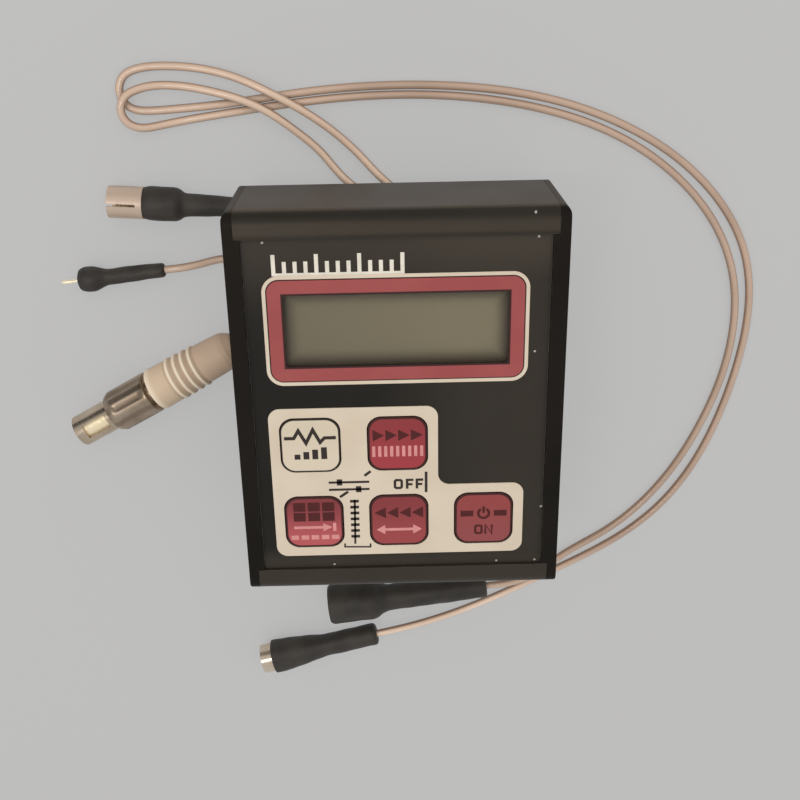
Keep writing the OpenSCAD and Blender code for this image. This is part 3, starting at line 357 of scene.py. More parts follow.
def skin(name, grids, material, body="instrument", sharp=38.0, edge=None):
    """Makes one piece of closed skins. The rows of a grid go on along the piece and its columns go round
    it, with the first column repeated as the last. A row drawn together to a point closes an end. The UV
    map has millimetres along the rows and the share of the turn round them. edge has a value a point."""
    points = np.concatenate([grid.reshape(-1, 3) for grid in grids]) * mm
    corners, maps, first = [], [], 0
    for grid in grids:
        rows, columns = grid.shape[:2]
        index = np.arange(first, first + rows * columns).reshape(rows, columns)
        cells = (index[:-1, :-1], index[:-1, 1:], index[1:, 1:], index[1:, :-1])
        corners.append(np.stack(cells, axis=-1).reshape(-1, 4))
        gone = np.linalg.norm(np.diff(grid.mean(axis=1), axis=0), axis=1).cumsum()
        along = np.broadcast_to(np.append(0, gone)[:, None], (rows, columns))
        around = np.broadcast_to(np.linspace(0, 1, columns), (rows, columns))
        maps.append(np.stack((along, around), axis=-1).reshape(-1, 2))
        first += rows * columns
    corners = np.concatenate(corners)
    mesh = bpy.data.meshes.new(name)
    mesh.from_pydata(points.tolist(), [], corners.tolist())
    layer = mesh.uv_layers.new(name="skin")
    layer.data.foreach_set("uv", np.concatenate(maps)[corners.ravel()].ravel())
    if edge is not None:
        mesh.attributes.new("edge", "FLOAT", "POINT").data.foreach_set("value", edge.ravel())
    shell = bmesh.new()
    shell.from_mesh(mesh)
    bmesh.ops.remove_doubles(shell, verts=shell.verts, dist=weld_gap)
    bmesh.ops.recalc_face_normals(shell, faces=shell.faces)
    shell.to_mesh(mesh)
    shell.free()
    mesh.shade_smooth()
    mesh.set_sharp_from_angle(angle=np.radians(sharp))
    mesh.materials.append(material)
    piece = bpy.data.objects.new(name, mesh)
    bpy.context.collection.objects.link(piece)
    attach(piece, body)
    return piece


def eased(outline, reach, steps=5):
    """Rounds an outline's corners: each becomes a quadratic curve that starts and ends at the reach from
    the corner, or at less than half of a shorter side."""
    outline = np.array(outline, float)
    sides = np.diff(outline, axis=0)
    lengths = np.linalg.norm(sides, axis=1, keepdims=True)
    cut = np.minimum(reach, 0.45 * lengths)
    way = sides / lengths
    corner = outline[1:-1, None]
    start = corner - (way * cut)[:-1, None]
    end = corner + (way * cut)[1:, None]
    t = np.linspace(0, 1, steps)[None, :, None]
    curves = (1 - t) ** 2 * start + 2 * t * (1 - t) * corner + t ** 2 * end
    return np.concatenate((outline[:1], curves.reshape(-1, 2), outline[-1:]))


def turned(outline, count=48):
    """Turns an outline of (radius, height) points about the Z axis: each row of the grid is one circle."""
    radius, height = np.array(outline, float).T
    angle = np.linspace(0, 2 * np.pi, count + 1)
    level = np.broadcast_to(height[:, None], (len(height), count + 1))
    return np.stack((np.outer(radius, np.cos(angle)), np.outer(radius, np.sin(angle)), level), axis=-1)


def laid(grid, place, turn):
    """Lays a turned piece down: its axis leaves +Z for the level heading at this turn from +X, and its foot
    goes to the place."""
    x, y, z = np.moveaxis(grid, -1, 0)
    heading = np.radians(turn)
    ahead = np.cos(heading) * z - np.sin(heading) * y
    aside = np.sin(heading) * z + np.cos(heading) * y
    return np.stack((ahead, aside, -x), axis=-1) + np.array(place)


foot_rubber = stock("foot_rubber", tone(36, 35, 34), tone(46, 45, 43), 1800, 0.75)
foot_places = [(x, y, 0) for x in (-37.5, 37.5) for y in (-40, 40)]
foot_outline = [(2.6, 6), (2.6, 0), (5.4, 0), (6, 12), (1.7, 12), (1.7, 6), (2.6, 6)]
foot_turned = turned(eased(foot_outline, 0.7))
foot_skins = [foot_turned + np.array(place) for place in foot_places]
feet = skin("turned_feet", foot_skins, foot_rubber)
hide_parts("rubber_feet")

outlet_black = stock("outlet_moulding", tone(42, 40, 38), tone(52, 50, 47), 2400, 0.5, edge=0.5)
dress(["outlet_block"], outlet_black)

exit_height = 5
north_exits = [(6, 30, exit_height), (-2, 30, exit_height)]
west_exits = [(-8, 27, exit_height), (-8, 21, exit_height), (-8, 15, exit_height)]
relief_length = 8
relief_radius = 2.8
relief_taper = 1.05
relief_ribs = 4
rib_depth = 0.28
# The relief tapers evenly, and each groove between its ribs is one turn of a cosine.
relief_rows = np.linspace(0, 1, 8 * relief_ribs + 1)
rib_wave = 0.5 - 0.5 * np.cos(2 * np.pi * relief_ribs * relief_rows)
relief_radii = relief_radius - relief_taper * relief_rows - rib_depth * rib_wave
relief_wall = np.stack((relief_radii, relief_length * relief_rows), axis=1)
relief_outline = np.concatenate(([(0, 0)], relief_wall, [(1.25, relief_length), (0, relief_length)]))
relief_turned = turned(relief_outline, 32)
relief_skins = [laid(relief_turned, place, 90) for place in north_exits]
relief_skins += [laid(relief_turned, place, 180) for place in west_exits]
reliefs = skin("ribbed_reliefs", relief_skins, foot_rubber, sharp=60)
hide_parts("lead_reliefs")

# Display
# A liquid crystal glass lies in a black moulded holder behind a clear acrylic window, on two rubber strips
# that join it to the board. Unpowered, it is an olive grey, brightened to the right by painted light and
# darkened towards the window's edges by painted shade.
lens_low, lens_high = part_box("window_lens")
window_half = np.array((31.3, 10.5)) * mm
window_middle = (np.array(lens_low) + np.array(lens_high))[:2] / 2
glass_shaded_left = tone(122, 114, 93)
glass_lit_right = tone(138, 129, 104)
glass_edge_shade = tone(82, 73, 60)


def window_depth(place):
    """Is the distance in from the nearest edge of the display window, below 0 outside it."""
    inside = None
    for axis, middle, half in zip("XY", window_middle, window_half):
        depth = float(half) - (place.axis(axis) - float(middle)).math("ABSOLUTE")
        inside = depth if inside is None else inside.math("MINIMUM", depth)
    return inside


display_grey, start = new_material("display_glass")
place = start.node("TexCoord", output="Object")
# Painted light brightens the glass to the right, and painted shade darkens it towards the window's edges.
across = place.axis("X").rise(-30 * mm, 30 * mm)
clouds = place.noise(38, 3)
shaded = 1 - window_depth(place).rise(-0.5 * mm, 4.5 * mm)
finish(display_grey, start, {
    "Base Color": shaded.mix((across * 0.7 + clouds * 0.3).mix(glass_shaded_left, glass_lit_right), glass_edge_shade),
    "Roughness": 0.32 + clouds * 0.1,
    "Normal": place.noise(3000).bump(0.2, 0.01),
})
dress(["display_glass"], display_grey)

window_clear, start = new_material("clear_window")
place = start.node("TexCoord", output="Object")
smear = place.noise(70, 3)
finish(window_clear, start, {
    "Base Color": smear.mix(tone(60, 58, 52), tone(84, 80, 72)),
    "Roughness": 0.06 + smear * 0.08,
    "Alpha": 0.06 + smear * 0.04,
})
dress(["window_lens"], window_clear)

strip_rubber = stock("strip_rubber", tone(120, 118, 116), tone(60, 58, 58), 9000, 0.7)
dress(["contact_strips"], strip_rubber)
dress(["display_holder"], moulded_black)

# Front films
# Printed polyester films cover the panel: a charcoal one over it all, then a red frame round the window
# with a cream line round that, and a cream field behind the keys. Legends are printed on films and keys.
ink_dark = tone(52, 44, 42)
film_sheen_grey = tone(64, 57, 49)
film_top = 49.9
pad_top = 50.2


def film(name, colour, second, roughness=0.5):
    """A matt printed film: slow clouds of the second colour and a fine leather grain. The material comes
    with its shades and its inputs, so that marks go on the colour before it is finished."""
    material, start = new_material(name)
    place = start.node("TexCoord", output="Object")
    grain = place.noise(3800, 1.0)
    look = {
        "Base Color": place.noise(60, 4).rise(0.3, 0.7).mix(colour, second),
        "Roughness": roughness + (grain - 0.5) * 0.15,
        "Specular IOR Level": 0.25,
        "Normal": grain.bump(0.3, 0.02),
    }
    return material, start, place, look


charcoal_film, start, place, look = film("charcoal_film", tone(25, 22, 18), tone(30, 27, 22))
# A painted sheen greys the charcoal film towards the right, towards the head and towards the foot.
level = place.axis("Y")
to_right = place.axis("X").rise(-12 * mm, 28 * mm)
to_head = level.rise(26 * mm, 52 * mm) * (0.7 + to_right * 0.3)
to_foot = level.rise(-43 * mm, -50 * mm) * 0.6
sheen_share = (to_right * 0.48).math("MAXIMUM", to_head).math("MAXIMUM", to_foot)
colour = sheen_share.mix(look["Base Color"], film_sheen_grey)
look["Base Color"] = chips(place).mix(colour, bare_metal)
finish(charcoal_film, start, look)
dress(["front_film"], charcoal_film)

cream_film, start, place, look = film("cream_film", tone(213, 200, 182), tone(206, 192, 173))
finish(cream_film, start, look)
dress(["keypad_film", "display_outline"], cream_film)

red_film, start, place, look = film("red_film", tone(158, 79, 79), tone(151, 74, 74))
# A painted shadow runs as a dark line round the bezel's inner edge at the window.
window_edge_shadow = (window_depth(place) + 0.55 * mm).rise(-0.1 * mm, 0.1 * mm)
look["Base Color"] = window_edge_shadow.mix(look["Base Color"], tone(58, 34, 34))
finish(red_film, start, look)
dress(["display_bezel"], red_film)


def strip(points, width, low, high):
    """Carries a flat bar along a line: at each point its sides stand half the width off, on the bisector of
    the corner, which is cut short where it is sharp. Each end is drawn together to close it."""
    line = np.array(points, float)
    way = np.diff(line, axis=0)
    way /= np.linalg.norm(way, axis=1, keepdims=True)
    before = np.concatenate((way[:1], way))
    after = np.concatenate((way, way[-1:]))
    sharpest = 0.4
    straight = np.maximum(1 + (before * after).sum(axis=1), sharpest)
    reach = np.broadcast_to(width, len(line)) / 2 / straight
    aside = (before + after)[:, ::-1] * (-1, 1) * reach[:, None]
    ends = np.stack((line + aside, line - aside, line - aside, line + aside, line + aside), axis=1)
    level = np.broadcast_to(np.array((low, low, high, high, low))[None, :, None], (len(line), 5, 1))
    bar = np.concatenate((ends, level), axis=-1)
    caps = np.repeat(bar[[0, -1]].mean(axis=1, keepdims=True), 5, axis=1)
    return np.concatenate((caps[:1], bar, caps[1:]))


def ring_line(x, y, half_x, half_y):
    """A closed line with cut corners about a middle, which starts and ends half way along its top."""
    cut = 0.35 * min(half_x, half_y)
    corners = np.array([
        (0, half_y), (half_x - cut, half_y), (half_x, half_y - cut), (half_x, cut - half_y),
        (half_x - cut, -half_y), (cut - half_x, -half_y), (-half_x, cut - half_y), (-half_x, half_y - cut),
        (cut - half_x, half_y), (0, half_y),
    ])
    return corners + np.array((x, y))


def darker(colour, share):
    """The colour with this share of its light."""
    return (*(share * part for part in colour[:3]), 1.0)


def ink(name, colour):
    """A printed ink: dense, slightly mottled and a little glossier than the film under it."""
    return stock(name, colour, darker(colour, 0.86), 4200, 0.42, relief=0.01, edge=0.02, gloss=0.25)


dark_ink = ink("dark_ink", ink_dark)
key_ink = ink("key_ink", tone(82, 32, 33))
pale_ink = ink("pale_ink", tone(216, 145, 144))
white_ink = ink("white_ink", tone(226, 220, 208))
ink_sunk = 0.03
ink_high = 0.05


def printed(name, lines, middle, top, material, body="instrument"):
    """Prints lines of (points about the middle, width) on a face at this height."""
    low, high = top - ink_sunk, top + ink_high
    bars = [strip(np.array(points) + middle, width, low, high) for points, width in lines]
    return skin(name, bars, material, body)


def key_middle(key):
    """The middle of a key, seen from the front, in millimetres."""
    low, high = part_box(key + "_key")
    return (np.array(low) + np.array(high))[:2] / 2 / mm


off_width = 0.75
off_mark = [(ring_line(0.0, 12.1, 1.0, 1.3), off_width)]
for x in (2.6, 5.5):
    off_mark.append(([(x, 10.5), (x, 13.4), (x + 1.9, 13.4)], off_width))
    off_mark.append(([(x + 0.375, 11.95), (x + 1.6, 11.95)], off_width))
slider_mark = [([(-20.6, y), (-8.6, y)], 0.7) for y in (13.1, 10.7)]
slider_mark += [([(x, y + 1), (x, y - 1)], 1.6) for x, y in ((-17.4, 13.1), (-11.8, 10.7))]
pointer_lines = [
    ([(-9.95, 15.13), (-8.1, 16.56)], 0.8),
    ([(-17.44, 8.18), (-14.95, 9.96)], 0.8),
    ([(8.26, 16.0), (8.21, 9.21)], 0.8),
    ([(-16.51, -7.73), (-16.56, -8.88), (-8.81, -9.09), (-8.78, -7.95)], 0.5),
]
scale_line = [([(-13.1, 7.2), (-13.4, -7.9)], 0.6)]
scale_line += [([(-14.5, y), (-11.9, y)], 0.9) for y in np.linspace(6.7, -5.3, 7)]
keypad_lines = off_mark + slider_mark + pointer_lines + scale_line
printed("keypad_print", keypad_lines, key_middle("slower"), pad_top, dark_ink)

tick_count = 13
tick_group = 4
tick_lines = [([(-33.85, 16.5), (2.45, 16.5)], 0.8)]
for tick, x in enumerate(np.linspace(-33.3, 1.9, tick_count)):
    tick_high = 22.1 if tick % tick_group == 0 else 20.1
    tick_lines.append(([(x, 16.9), (x, tick_high)], 1.1))
printed("timing_scale", tick_lines, window_middle / mm, film_top, white_ink)

# Keys
# Five moulded caps come up through the films, each with a flange under the panel and a stem that presses a
# steel dome on the board. Their tops are printed: a dark line round the edge and a legend in two inks.
flange_lap = 1.0
flange_low = 46.4
flange_top = 47.4
stem_radius = 2.5
corner_radius = 4.0
point_radius = 0.02
fade_reach = 7
rim_lines = {"display": 0.42, "faster": 0.6, "marker": 0.6, "slower": 0.6, "power": 0.6}
key_tops = {
    "display": (tone(211, 199, 178), tone(211, 198, 179)),
    "faster": (tone(141, 55, 60), tone(157, 59, 66)),
    "marker": (tone(131, 58, 62), tone(178, 86, 91)),
    "slower": (tone(133, 57, 60), tone(153, 69, 72)),
    "power": (tone(146, 68, 68), tone(142, 72, 74)),
}
crown_inset = np.array((0, 0.03, 0.14, 0.3, 0.5, 0.62, 0.72, 1.2, 2.4, 4.2, 6.2, 8.3))
crown_fall = np.array((0.55, 0.36, 0.2, 0.13, 0.11, 0.1, 0.095, 0.08, 0.05, 0.02, 0.005, 0))


def round_box(half_x, half_y, radius, height, steps=10):
    """One ring of a rounded rectangle: four quarter circles about the corners' middles, and straights."""
    turn = np.linspace(0, np.pi / 2, steps)
    arc = radius * np.stack((np.cos(turn), np.sin(turn)), axis=1)
    back = arc[::-1]
    middle = np.array((half_x - radius, half_y - radius))
    left, right = np.array((-1, 1)), np.array((1, -1))
    quarters = (arc + middle, (back + middle) * left, -arc - middle, (back + middle) * right)
    ring = np.concatenate((*quarters, quarters[0][:1]))
    return np.column_stack((ring, np.full(len(ring), height)))


def key_finish(key, top_colours, middle):
    """Moulded cap whose top runs from the head's colour to the foot's. The edge value is the distance in
    from the rim, and the dark line runs from the rim to the line's width."""
    head, foot = top_colours
    line = rim_lines[key]
    rim_ink = ink_dark if key == "display" else tone(64, 33, 31)
    material, start, place, look = film(key + "_key_print", head, darker(head, 0.93), 0.44)
    level = float(middle[1])
    downwards = place.axis("Y").rise((level + fade_reach) * mm, (level - fade_reach) * mm)
    inwards = start.node("Attribute", {"attribute_name": "edge"}, output="Fac")
    colour = downwards.mix(look["Base Color"], foot)
    look["Base Color"] = inwards.rise(line - 0.08, line + 0.04).mix(rim_ink, colour)
    return finish(material, start, look)


def key_cap(key, top_colours):
    """Lofts a cap from its stem's foot over the flange to the softly crowned top. Returns its height."""
    low, high = (np.array(corner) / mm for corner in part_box(key + "_key"))
    middle = (low + high) / 2
    half = (high - low)[:2] / 2 - flange_lap
    flange = (*(half + flange_lap), corner_radius + flange_lap)
    lower = [
        round_box(point_radius, point_radius, point_radius, low[2]),
        round_box(stem_radius, stem_radius, stem_radius, low[2]),
        round_box(stem_radius, stem_radius, stem_radius, flange_low),
        round_box(*flange, flange_low),
        round_box(*flange, flange_top),
        round_box(*half, corner_radius, flange_top),
    ]
    upper = []
    for step, drop in zip(crown_inset, crown_fall):
        radius = max(corner_radius - 0.55 * step, point_radius)
        sides = np.maximum(half - step, radius)
        upper.append(round_box(*sides, radius, high[2] - drop))
    grid = np.stack(lower + upper + [upper[-1] * 0 + (0, 0, high[2])])
    depth = np.concatenate((np.zeros(len(lower)), crown_inset, crown_inset[-1:]))
    edge = np.repeat(depth, grid.shape[1])
    grid = grid + np.array((middle[0], middle[1], 0))
    cap_print = key_finish(key, top_colours, middle)
    piece = skin(key + "_cap", [grid], cap_print, key + "_button", 50, edge)
    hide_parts(key + "_key")
    return high[2]


key_heights = {key: key_cap(key, top_colours) for key, top_colours in key_tops.items()}


def heads(places, y, reach, width):
    """A row of solid arrow heads: each starts at its place with its full width and narrows to a point."""
    point = 0.05
    return [([(x, y), (x + reach, y)], (width, point)) for x in places]


def dashes(places, low, high, width):
    """A row of short upright bars."""
    return [([(x, low), (x, high)], width) for x in places]


pulse = [
    (-7.5, 2.5), (-4.7, 2.5), (-3.3, 4.9), (-1.2, 0.9), (0.9, 5.1), (2.9, 1.1), (4.2, 2.5), (7.5, 2.5),
]
rate_heights = {-3.9: -2.7, -1.3: -1.9, 1.3: -1.2, 3.9: -0.5}
rate_bars = [([(x, -4.3), (x, high)], 1.7) for x, high in rate_heights.items()]
faster_dark = heads(np.linspace(-7.2, 3.9, 4), 2.8, 3.3, 3.6)
faster_pale = dashes(np.linspace(-7.0, 7.0, 9), -4.0, -0.6, 0.95)
block_places = [(x, y) for x in (-6.1, -1.8, 2.5) for y in (5.2, 1.9)]
marker_dark = [([(x, y), (x + 3.6, y)], 2.9) for x, y in block_places]
marker_pale = [([(-6.2, -1.7), (2.6, -1.7)], 0.9), ([(6.0, -3.1), (6.0, -0.3)], 1.0)]
marker_pale += heads([2.6], -1.7, 2.6, 2.8)
marker_pale += [([(x, -5.1), (x + 2.3, -5.1)], 1.5) for x in (-7.2, -4.15, -1.1, 1.95, 5.0)]
slower_dark = heads(np.linspace(7.2, -3.9, 4), 2.7, -3.3, 3.6)
slower_pale = [([(-4.2, -3.0), (4.2, -3.0)], 0.9)]
slower_pale += heads([4.2], -3.0, 2.6, 3.2) + heads([-4.2], -3.0, -2.6, 3.2)
switch_turn = np.radians(np.linspace(60, -240, 19))
switch_ring = np.column_stack((1.6 * np.cos(switch_turn), 1.8 + 1.6 * np.sin(switch_turn)))
power_dark = [
    (switch_ring, 0.8),
    ([(0, 4.1), (0, 1.9)], 0.8),
    ([(-6.9, 1.8), (-3.1, 1.8)], 1.9),
    ([(3.1, 1.8), (6.9, 1.8)], 1.9),
    (ring_line(-1.5, -3.7, 0.95, 1.3), 0.7),
    ([(0.6, -5.25), (0.6, -2.15), (2.5, -5.25), (2.5, -2.15)], 0.7),
]
key_legends = {
    "display": ([(pulse, 1.0)] + rate_bars, []),
    "faster": (faster_dark, faster_pale),
    "marker": (marker_dark, marker_pale),
    "slower": (slower_dark, slower_pale),
    "power": (power_dark, []),
}
for key, (dark_lines, pale_lines) in key_legends.items():
    middle = key_middle(key)
    top = key_heights[key] - ink_sunk
    legend_ink = dark_ink if key == "display" else key_ink
    printed(key + "_dark_print", dark_lines, middle, top, legend_ink, key + "_button")
    if pale_lines:
        printed(key + "_pale_print", pale_lines, middle, top, pale_ink, key + "_button")

dome_sheet = 0.15
spring_steel = stock("spring_steel", tone(200, 198, 194), tone(180, 178, 174), 2600, 0.22, 1.0)


def dished(radius, height, steps=12):
    """A circular arc from the middle of a dish, at this height, down to its rim at this radius."""
    sphere = (radius ** 2 + height ** 2) / (2 * height)
    angle = np.linspace(0, np.arcsin(radius / sphere), steps)
    return np.column_stack((sphere * np.sin(angle), sphere * np.cos(angle) - sphere + height))


def snap_dome(key):
    """Turns a thin dish that stands on its rim on the board."""
    low, high = (np.array(corner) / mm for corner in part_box(key + "_dome"))
    radius = (high - low)[0] / 2
    height = (high - low)[2]
    outside = dished(radius, height)
    inside = dished(radius - dome_sheet, height - dome_sheet)
    foot = np.array((*(low + high)[:2] / 2, low[2]))
    dish = turned(np.concatenate((outside, inside[::-1]))) + foot
    piece = skin(key + "_snap_dome", [dish], spring_steel)
    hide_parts(key + "_dome")
    key + "_press"
    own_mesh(piece)


for key in key_tops:
    snap_dome(key)

# Plugs
# Heat-shrunk black boots cover two inline sockets, a coax plug and a pin plug, over nickel shells, tan
# inserts and gilt contacts. The sensor plug has a moulded cream boot with four rings and a fluted sleeve
# that slides to unlock it.
socket_a_end = (-9.4, -107.2, 6.1)
socket_b_end = (30.1, -87.1, 7.3)
coax_end = (-48.5, 50.4, 5.3)
pin_end = (-72.8, 30.7, 4.1)
sensor_end = (-50.3, 6.9, 7.2)
socket_a_turn = 193.4
socket_b_turn = 186.3
coax_turn = 176.3
pin_turn = 186.1
sensor_turn = 208.5
boot_rubber = stock(
    "shrunk_boot", tone(47, 44, 41), tone(61, 57, 52), 1400, 0.52, relief=0.05, gloss=0.4,
)
boot_waves = ((3, 0.31), (2, -0.47), (5, 0.9))


def boot(name, wall, bore, place, turn, material, dent=0.0, reach=0.8, row=0.45):
    """Turns a boot from its outer wall, from the lead's end to the mouth, and its bore back to the seat.
    The wall is set out in even rows. Sine waves, each so many to the turn and drifting along the boot, are
    summed to a shallow dent that only goes inwards and fades out at the axis."""
    wall = eased(wall, reach)
    gone = np.append(0, np.linalg.norm(np.diff(wall, axis=0), axis=1).cumsum())
    rows = np.linspace(0, gone[-1], int(gone[-1] / row))
    outside = np.column_stack((np.interp(rows, gone, wall[:, 0]), np.interp(rows, gone, wall[:, 1])))
    grid = turned(np.concatenate((outside, bore)))
    angle = np.linspace(0, 2 * np.pi, grid.shape[1])
    height = grid[..., 2]
    wave = sum(np.sin(count * angle + drift * height) for count, drift in boot_waves)
    depth = dent * (0.5 + wave / (2 * len(boot_waves)))
    depth[len(outside):] = 0
    fade_radius = 2.0
    radius = np.maximum(np.linalg.norm(grid[..., :2], axis=-1), fade_radius)
    grid[..., :2] *= (1 - depth / radius)[..., None]
    return skin(name, [laid(grid, place, turn)], material)


socket_a_boot = boot(
    "socket_a_boot_skin",
    [(0, 0), (3.3, 0), (4.1, 0.8), (4.1, 19.4), (4.5, 22.4), (5.9, 32.8), (6.1, 36.8), (6.1, 38.8)],
    [(5.25, 38.8), (5.25, 30.95), (0, 30.95)],
    socket_a_end, socket_a_turn, boot_rubber, 0.25,
)
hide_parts("socket_a_boot")

socket_b_boot = boot(
    "socket_b_boot_skin",
    [(0, 0), (3.6, 0), (4.2, 0.7), (4.6, 20), (4.8, 35.5), (5.5, 37.6), (6.9, 39.6), (7.3, 41.5),
     (7.3, 55.4), (6.6, 56.4)],
    [(5.25, 56.4), (5.25, 44.2), (0, 44.2)],
    socket_b_end, socket_b_turn, boot_rubber, 0.25,
)
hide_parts("socket_b_boot")

coax_boot = boot(
    "coax_boot_skin",
    [(0, 0), (2.7, 0), (3.1, 0.5), (3.6, 14.5), (3.8, 16), (4.9, 17.4), (5.3, 18.6), (5.3, 26.4),
     (5.0, 27.8), (4.8, 28.3)],
    [(4.55, 28.3), (4.55, 20.25), (0, 20.25)],
    coax_end, coax_turn, boot_rubber, 0.2,
)
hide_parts("coax_boot")

pin_boot = boot(
    "pin_boot_skin",
    [(0, 0), (1.9, 0), (2.4, 0.6), (2.6, 8), (2.7, 18.6), (3.6, 21.2), (4.1, 22.6), (4.1, 25.4),
     (3.5, 27), (2.4, 27.5)],
    [(1.1, 27.5), (1.1, 19.5), (0, 19.5)],
    pin_end, pin_turn, boot_rubber, 0.25,
)
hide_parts("pin_boot")

ring_count = 4
ring_first = 16
ring_pitch = 2.8
ring_last = ring_first + (ring_count - 1) * ring_pitch
ring_rise = 0.45
ring_sunk = 0.12
# Painted shade darkens the cream boot at the lead's end, by the case, and painted light brightens it
# towards the mouth, with random tone mixed in. Painted highlights lie on the ring tops and the mouth rim,
# and painted shade lies in the grooves between the rings.
boot_cream, start = new_material("cream_boot")
along = start.node("TexCoord", output="UV").axis("X")
place = start.node("TexCoord", output="Object")
grains = place.noise(1100)
mouthward_light = along.rise(12, 31) * 0.8 + place.noise(90, 3) * 0.2
wave = ((along - ring_first) * (2 * np.pi / ring_pitch)).math("COSINE")
ringed = along.rise(ring_first - 1.6, ring_first - 1.2)
ringed = ringed * (1 - along.rise(ring_last + 1.2, ring_last + 1.6))
pale = (wave.rise(0.2, 0.8) * ringed).math("MAXIMUM", along.rise(30.4, 32.6) * 0.8)
colour = pale.mix(mouthward_light.mix(tone(194, 169, 147), tone(211, 189, 163)), tone(240, 224, 202))
groove_shade = wave.rise(0.1, -0.9) * ringed * 0.34
finish(boot_cream, start, {
    "Base Color": groove_shade.mix(colour, tone(130, 110, 94)),
    "Roughness": 0.5 + (grains - 0.5) * 0.2,
    "Specular IOR Level": 0.3,
    "Normal": grains.bump(0.4, 0.02),
})
# The wall widens evenly towards the mouth. By the distance from the nearest ring's middle, a ring is a
# flat-topped ridge with sloping sides, and a bell-shaped groove runs along each side of it.
sensor_rows = np.linspace(6, 32.4, 120)
ring_phase = (sensor_rows - ring_first) / ring_pitch
ring_near = np.abs(ring_phase - np.clip(np.round(ring_phase), 0, ring_count - 1)) * ring_pitch
ring_ridge = np.clip(2.2 - ring_near / 0.32, 0, 1)
ring_groove = np.exp(-((ring_near - 1.3) / 0.3) ** 2)
sensor_radii = 6.2 + (sensor_rows - 6) / 27
sensor_radii += ring_rise * ring_ridge - ring_sunk * ring_groove
sensor_wall = np.concatenate((
    [(0, 0), (2.2, 0), (4.6, 2.4), (5.8, 4.4)],
    np.column_stack((sensor_radii, sensor_rows)),
    [(7.0, 32.8), (6.6, 33)],
))
sensor_boot = boot(
    "sensor_boot_skin", sensor_wall, [(5.3, 33), (5.3, 22.95), (0, 22.95)],
    sensor_end, sensor_turn, boot_cream, reach=0.2, row=0.15,
)
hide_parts("sensor_boot")

sleeve_start = 34.2
sleeve_radius = 7.0
flute_count = 8
flute_depth = 0.4
flute_share = 0.24
sleeve_metal, start = new_material("fluted_nickel")
around = start.node("TexCoord", output="UV").axis("Y")
place = start.node("TexCoord", output="Object")
grains = place.noise(900)
# Painted shade darkens the flutes of the sleeve.
off_flute = ((around * flute_count).math("FRACT") - 0.5).math("ABSOLUTE")
flute_shade = 1 - off_flute.rise(0.5 * flute_share, 1.1 * flute_share)
colour = place.noise(75, 3).rise(0.3, 0.7).mix(tone(200, 182, 163), tone(156, 138, 120))
finish(sleeve_metal, start, {
    "Base Color": (flute_shade * 0.6).mix(colour, tone(138, 120, 102)),
    "Roughness": 0.3 + grains * 0.12,
    "Metallic": 1.0,
    "Normal": grains.bump(0.4, 0.01),
})
# The sleeve is turned. Each flute takes off the depth of a half ellipse across it, easing out at its ends.
flute_rows = np.linspace(1.2, 12.6, 24)
sleeve_outline = np.concatenate((
    [(5.9, 0), (6.7, 0), (6.9, 0.1), (sleeve_radius, 0.3)],
    np.column_stack((np.full(len(flute_rows), sleeve_radius), flute_rows)),
    [(sleeve_radius, 13.5), (6.95, 13.7), (6.2, 15.1), (6.1, 15.2), (5.9, 15.2), (5.9, 0)],
))
sleeve_radii, sleeve_heights = sleeve_outline.T
sleeve_grid = turned(sleeve_outline, 12 * flute_count)
flute_turn = np.linspace(0, flute_count, sleeve_grid.shape[1]) % 1 - 0.5
flute_bottom = np.sqrt(np.clip(1 - (flute_turn / flute_share) ** 2, 0, 1))
flute_ends = np.clip(np.minimum(sleeve_heights - 1.4, 12.4 - sleeve_heights) / 0.9, 0, 1)
flute_ends[sleeve_radii < sleeve_radius] = 0
fluted = 1 - flute_depth / sleeve_radius * np.outer(flute_ends ** 0.5, flute_bottom)
sleeve_grid[..., :2] *= fluted[..., None]
sleeve_grid[..., 2] += sleeve_start
sleeve_skin = laid(sleeve_grid, sensor_end, sensor_turn)
sleeve = skin("fluted_sleeve", [sleeve_skin], sleeve_metal, "plug_sleeve", 50)
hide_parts("sensor_sleeve")

bright_nickel = stock("bright_nickel", tone(240, 228, 210), tone(212, 196, 176), 900, 0.2, 0.7)
worn_nickel = stock(
    "worn_nickel", tone(224, 208, 188), tone(188, 168, 144), 900, 0.26, 1.0, relief=0.01,
)
pale_shell = stock("pale_shell", tone(208, 187, 169), tone(196, 174, 156), 900, 0.4, 0.3)
tan_insert = stock("tan_insert", tone(150, 126, 92), tone(130, 108, 78), 1200, 0.5)
# The gilt contacts are gold with a painted highlight that makes them near white.
gilt_and_glare = stock("gilt_contact", tone(255, 246, 224), tone(252, 232, 190), 700, 0.28, 0.45, relief=0.12)
dress(["socket_a_shell", "socket_b_shell"], bright_nickel)
dress(["sensor_shell"], worn_nickel)
dress(["coax_shell"], pale_shell)
dress(["socket_a_insert", "socket_b_insert"], tan_insert)
dress(["coax_pin", "pin_contact", "sensor_insert"], gilt_and_glare)

# Leads
# Five thin leads in glossy peach-coloured jackets, paler on top with painted light, browner on their flanks
# with painted shade, and duller half way. Two long ones loop beyond the head and sweep round the right side
# to the sockets, and three short ones go left.
lead_radius = 1.25
lead_pale = tone(244, 215, 191)
lead_peach = tone(170, 143, 125)
lead_brown = tone(148, 116, 94)

lead_jacket, start = new_material("peach_lead")
place = start.node("TexCoord", output="Object")
jacket_map = start.node("TexCoord", output="UV")
along = jacket_map.axis("X")
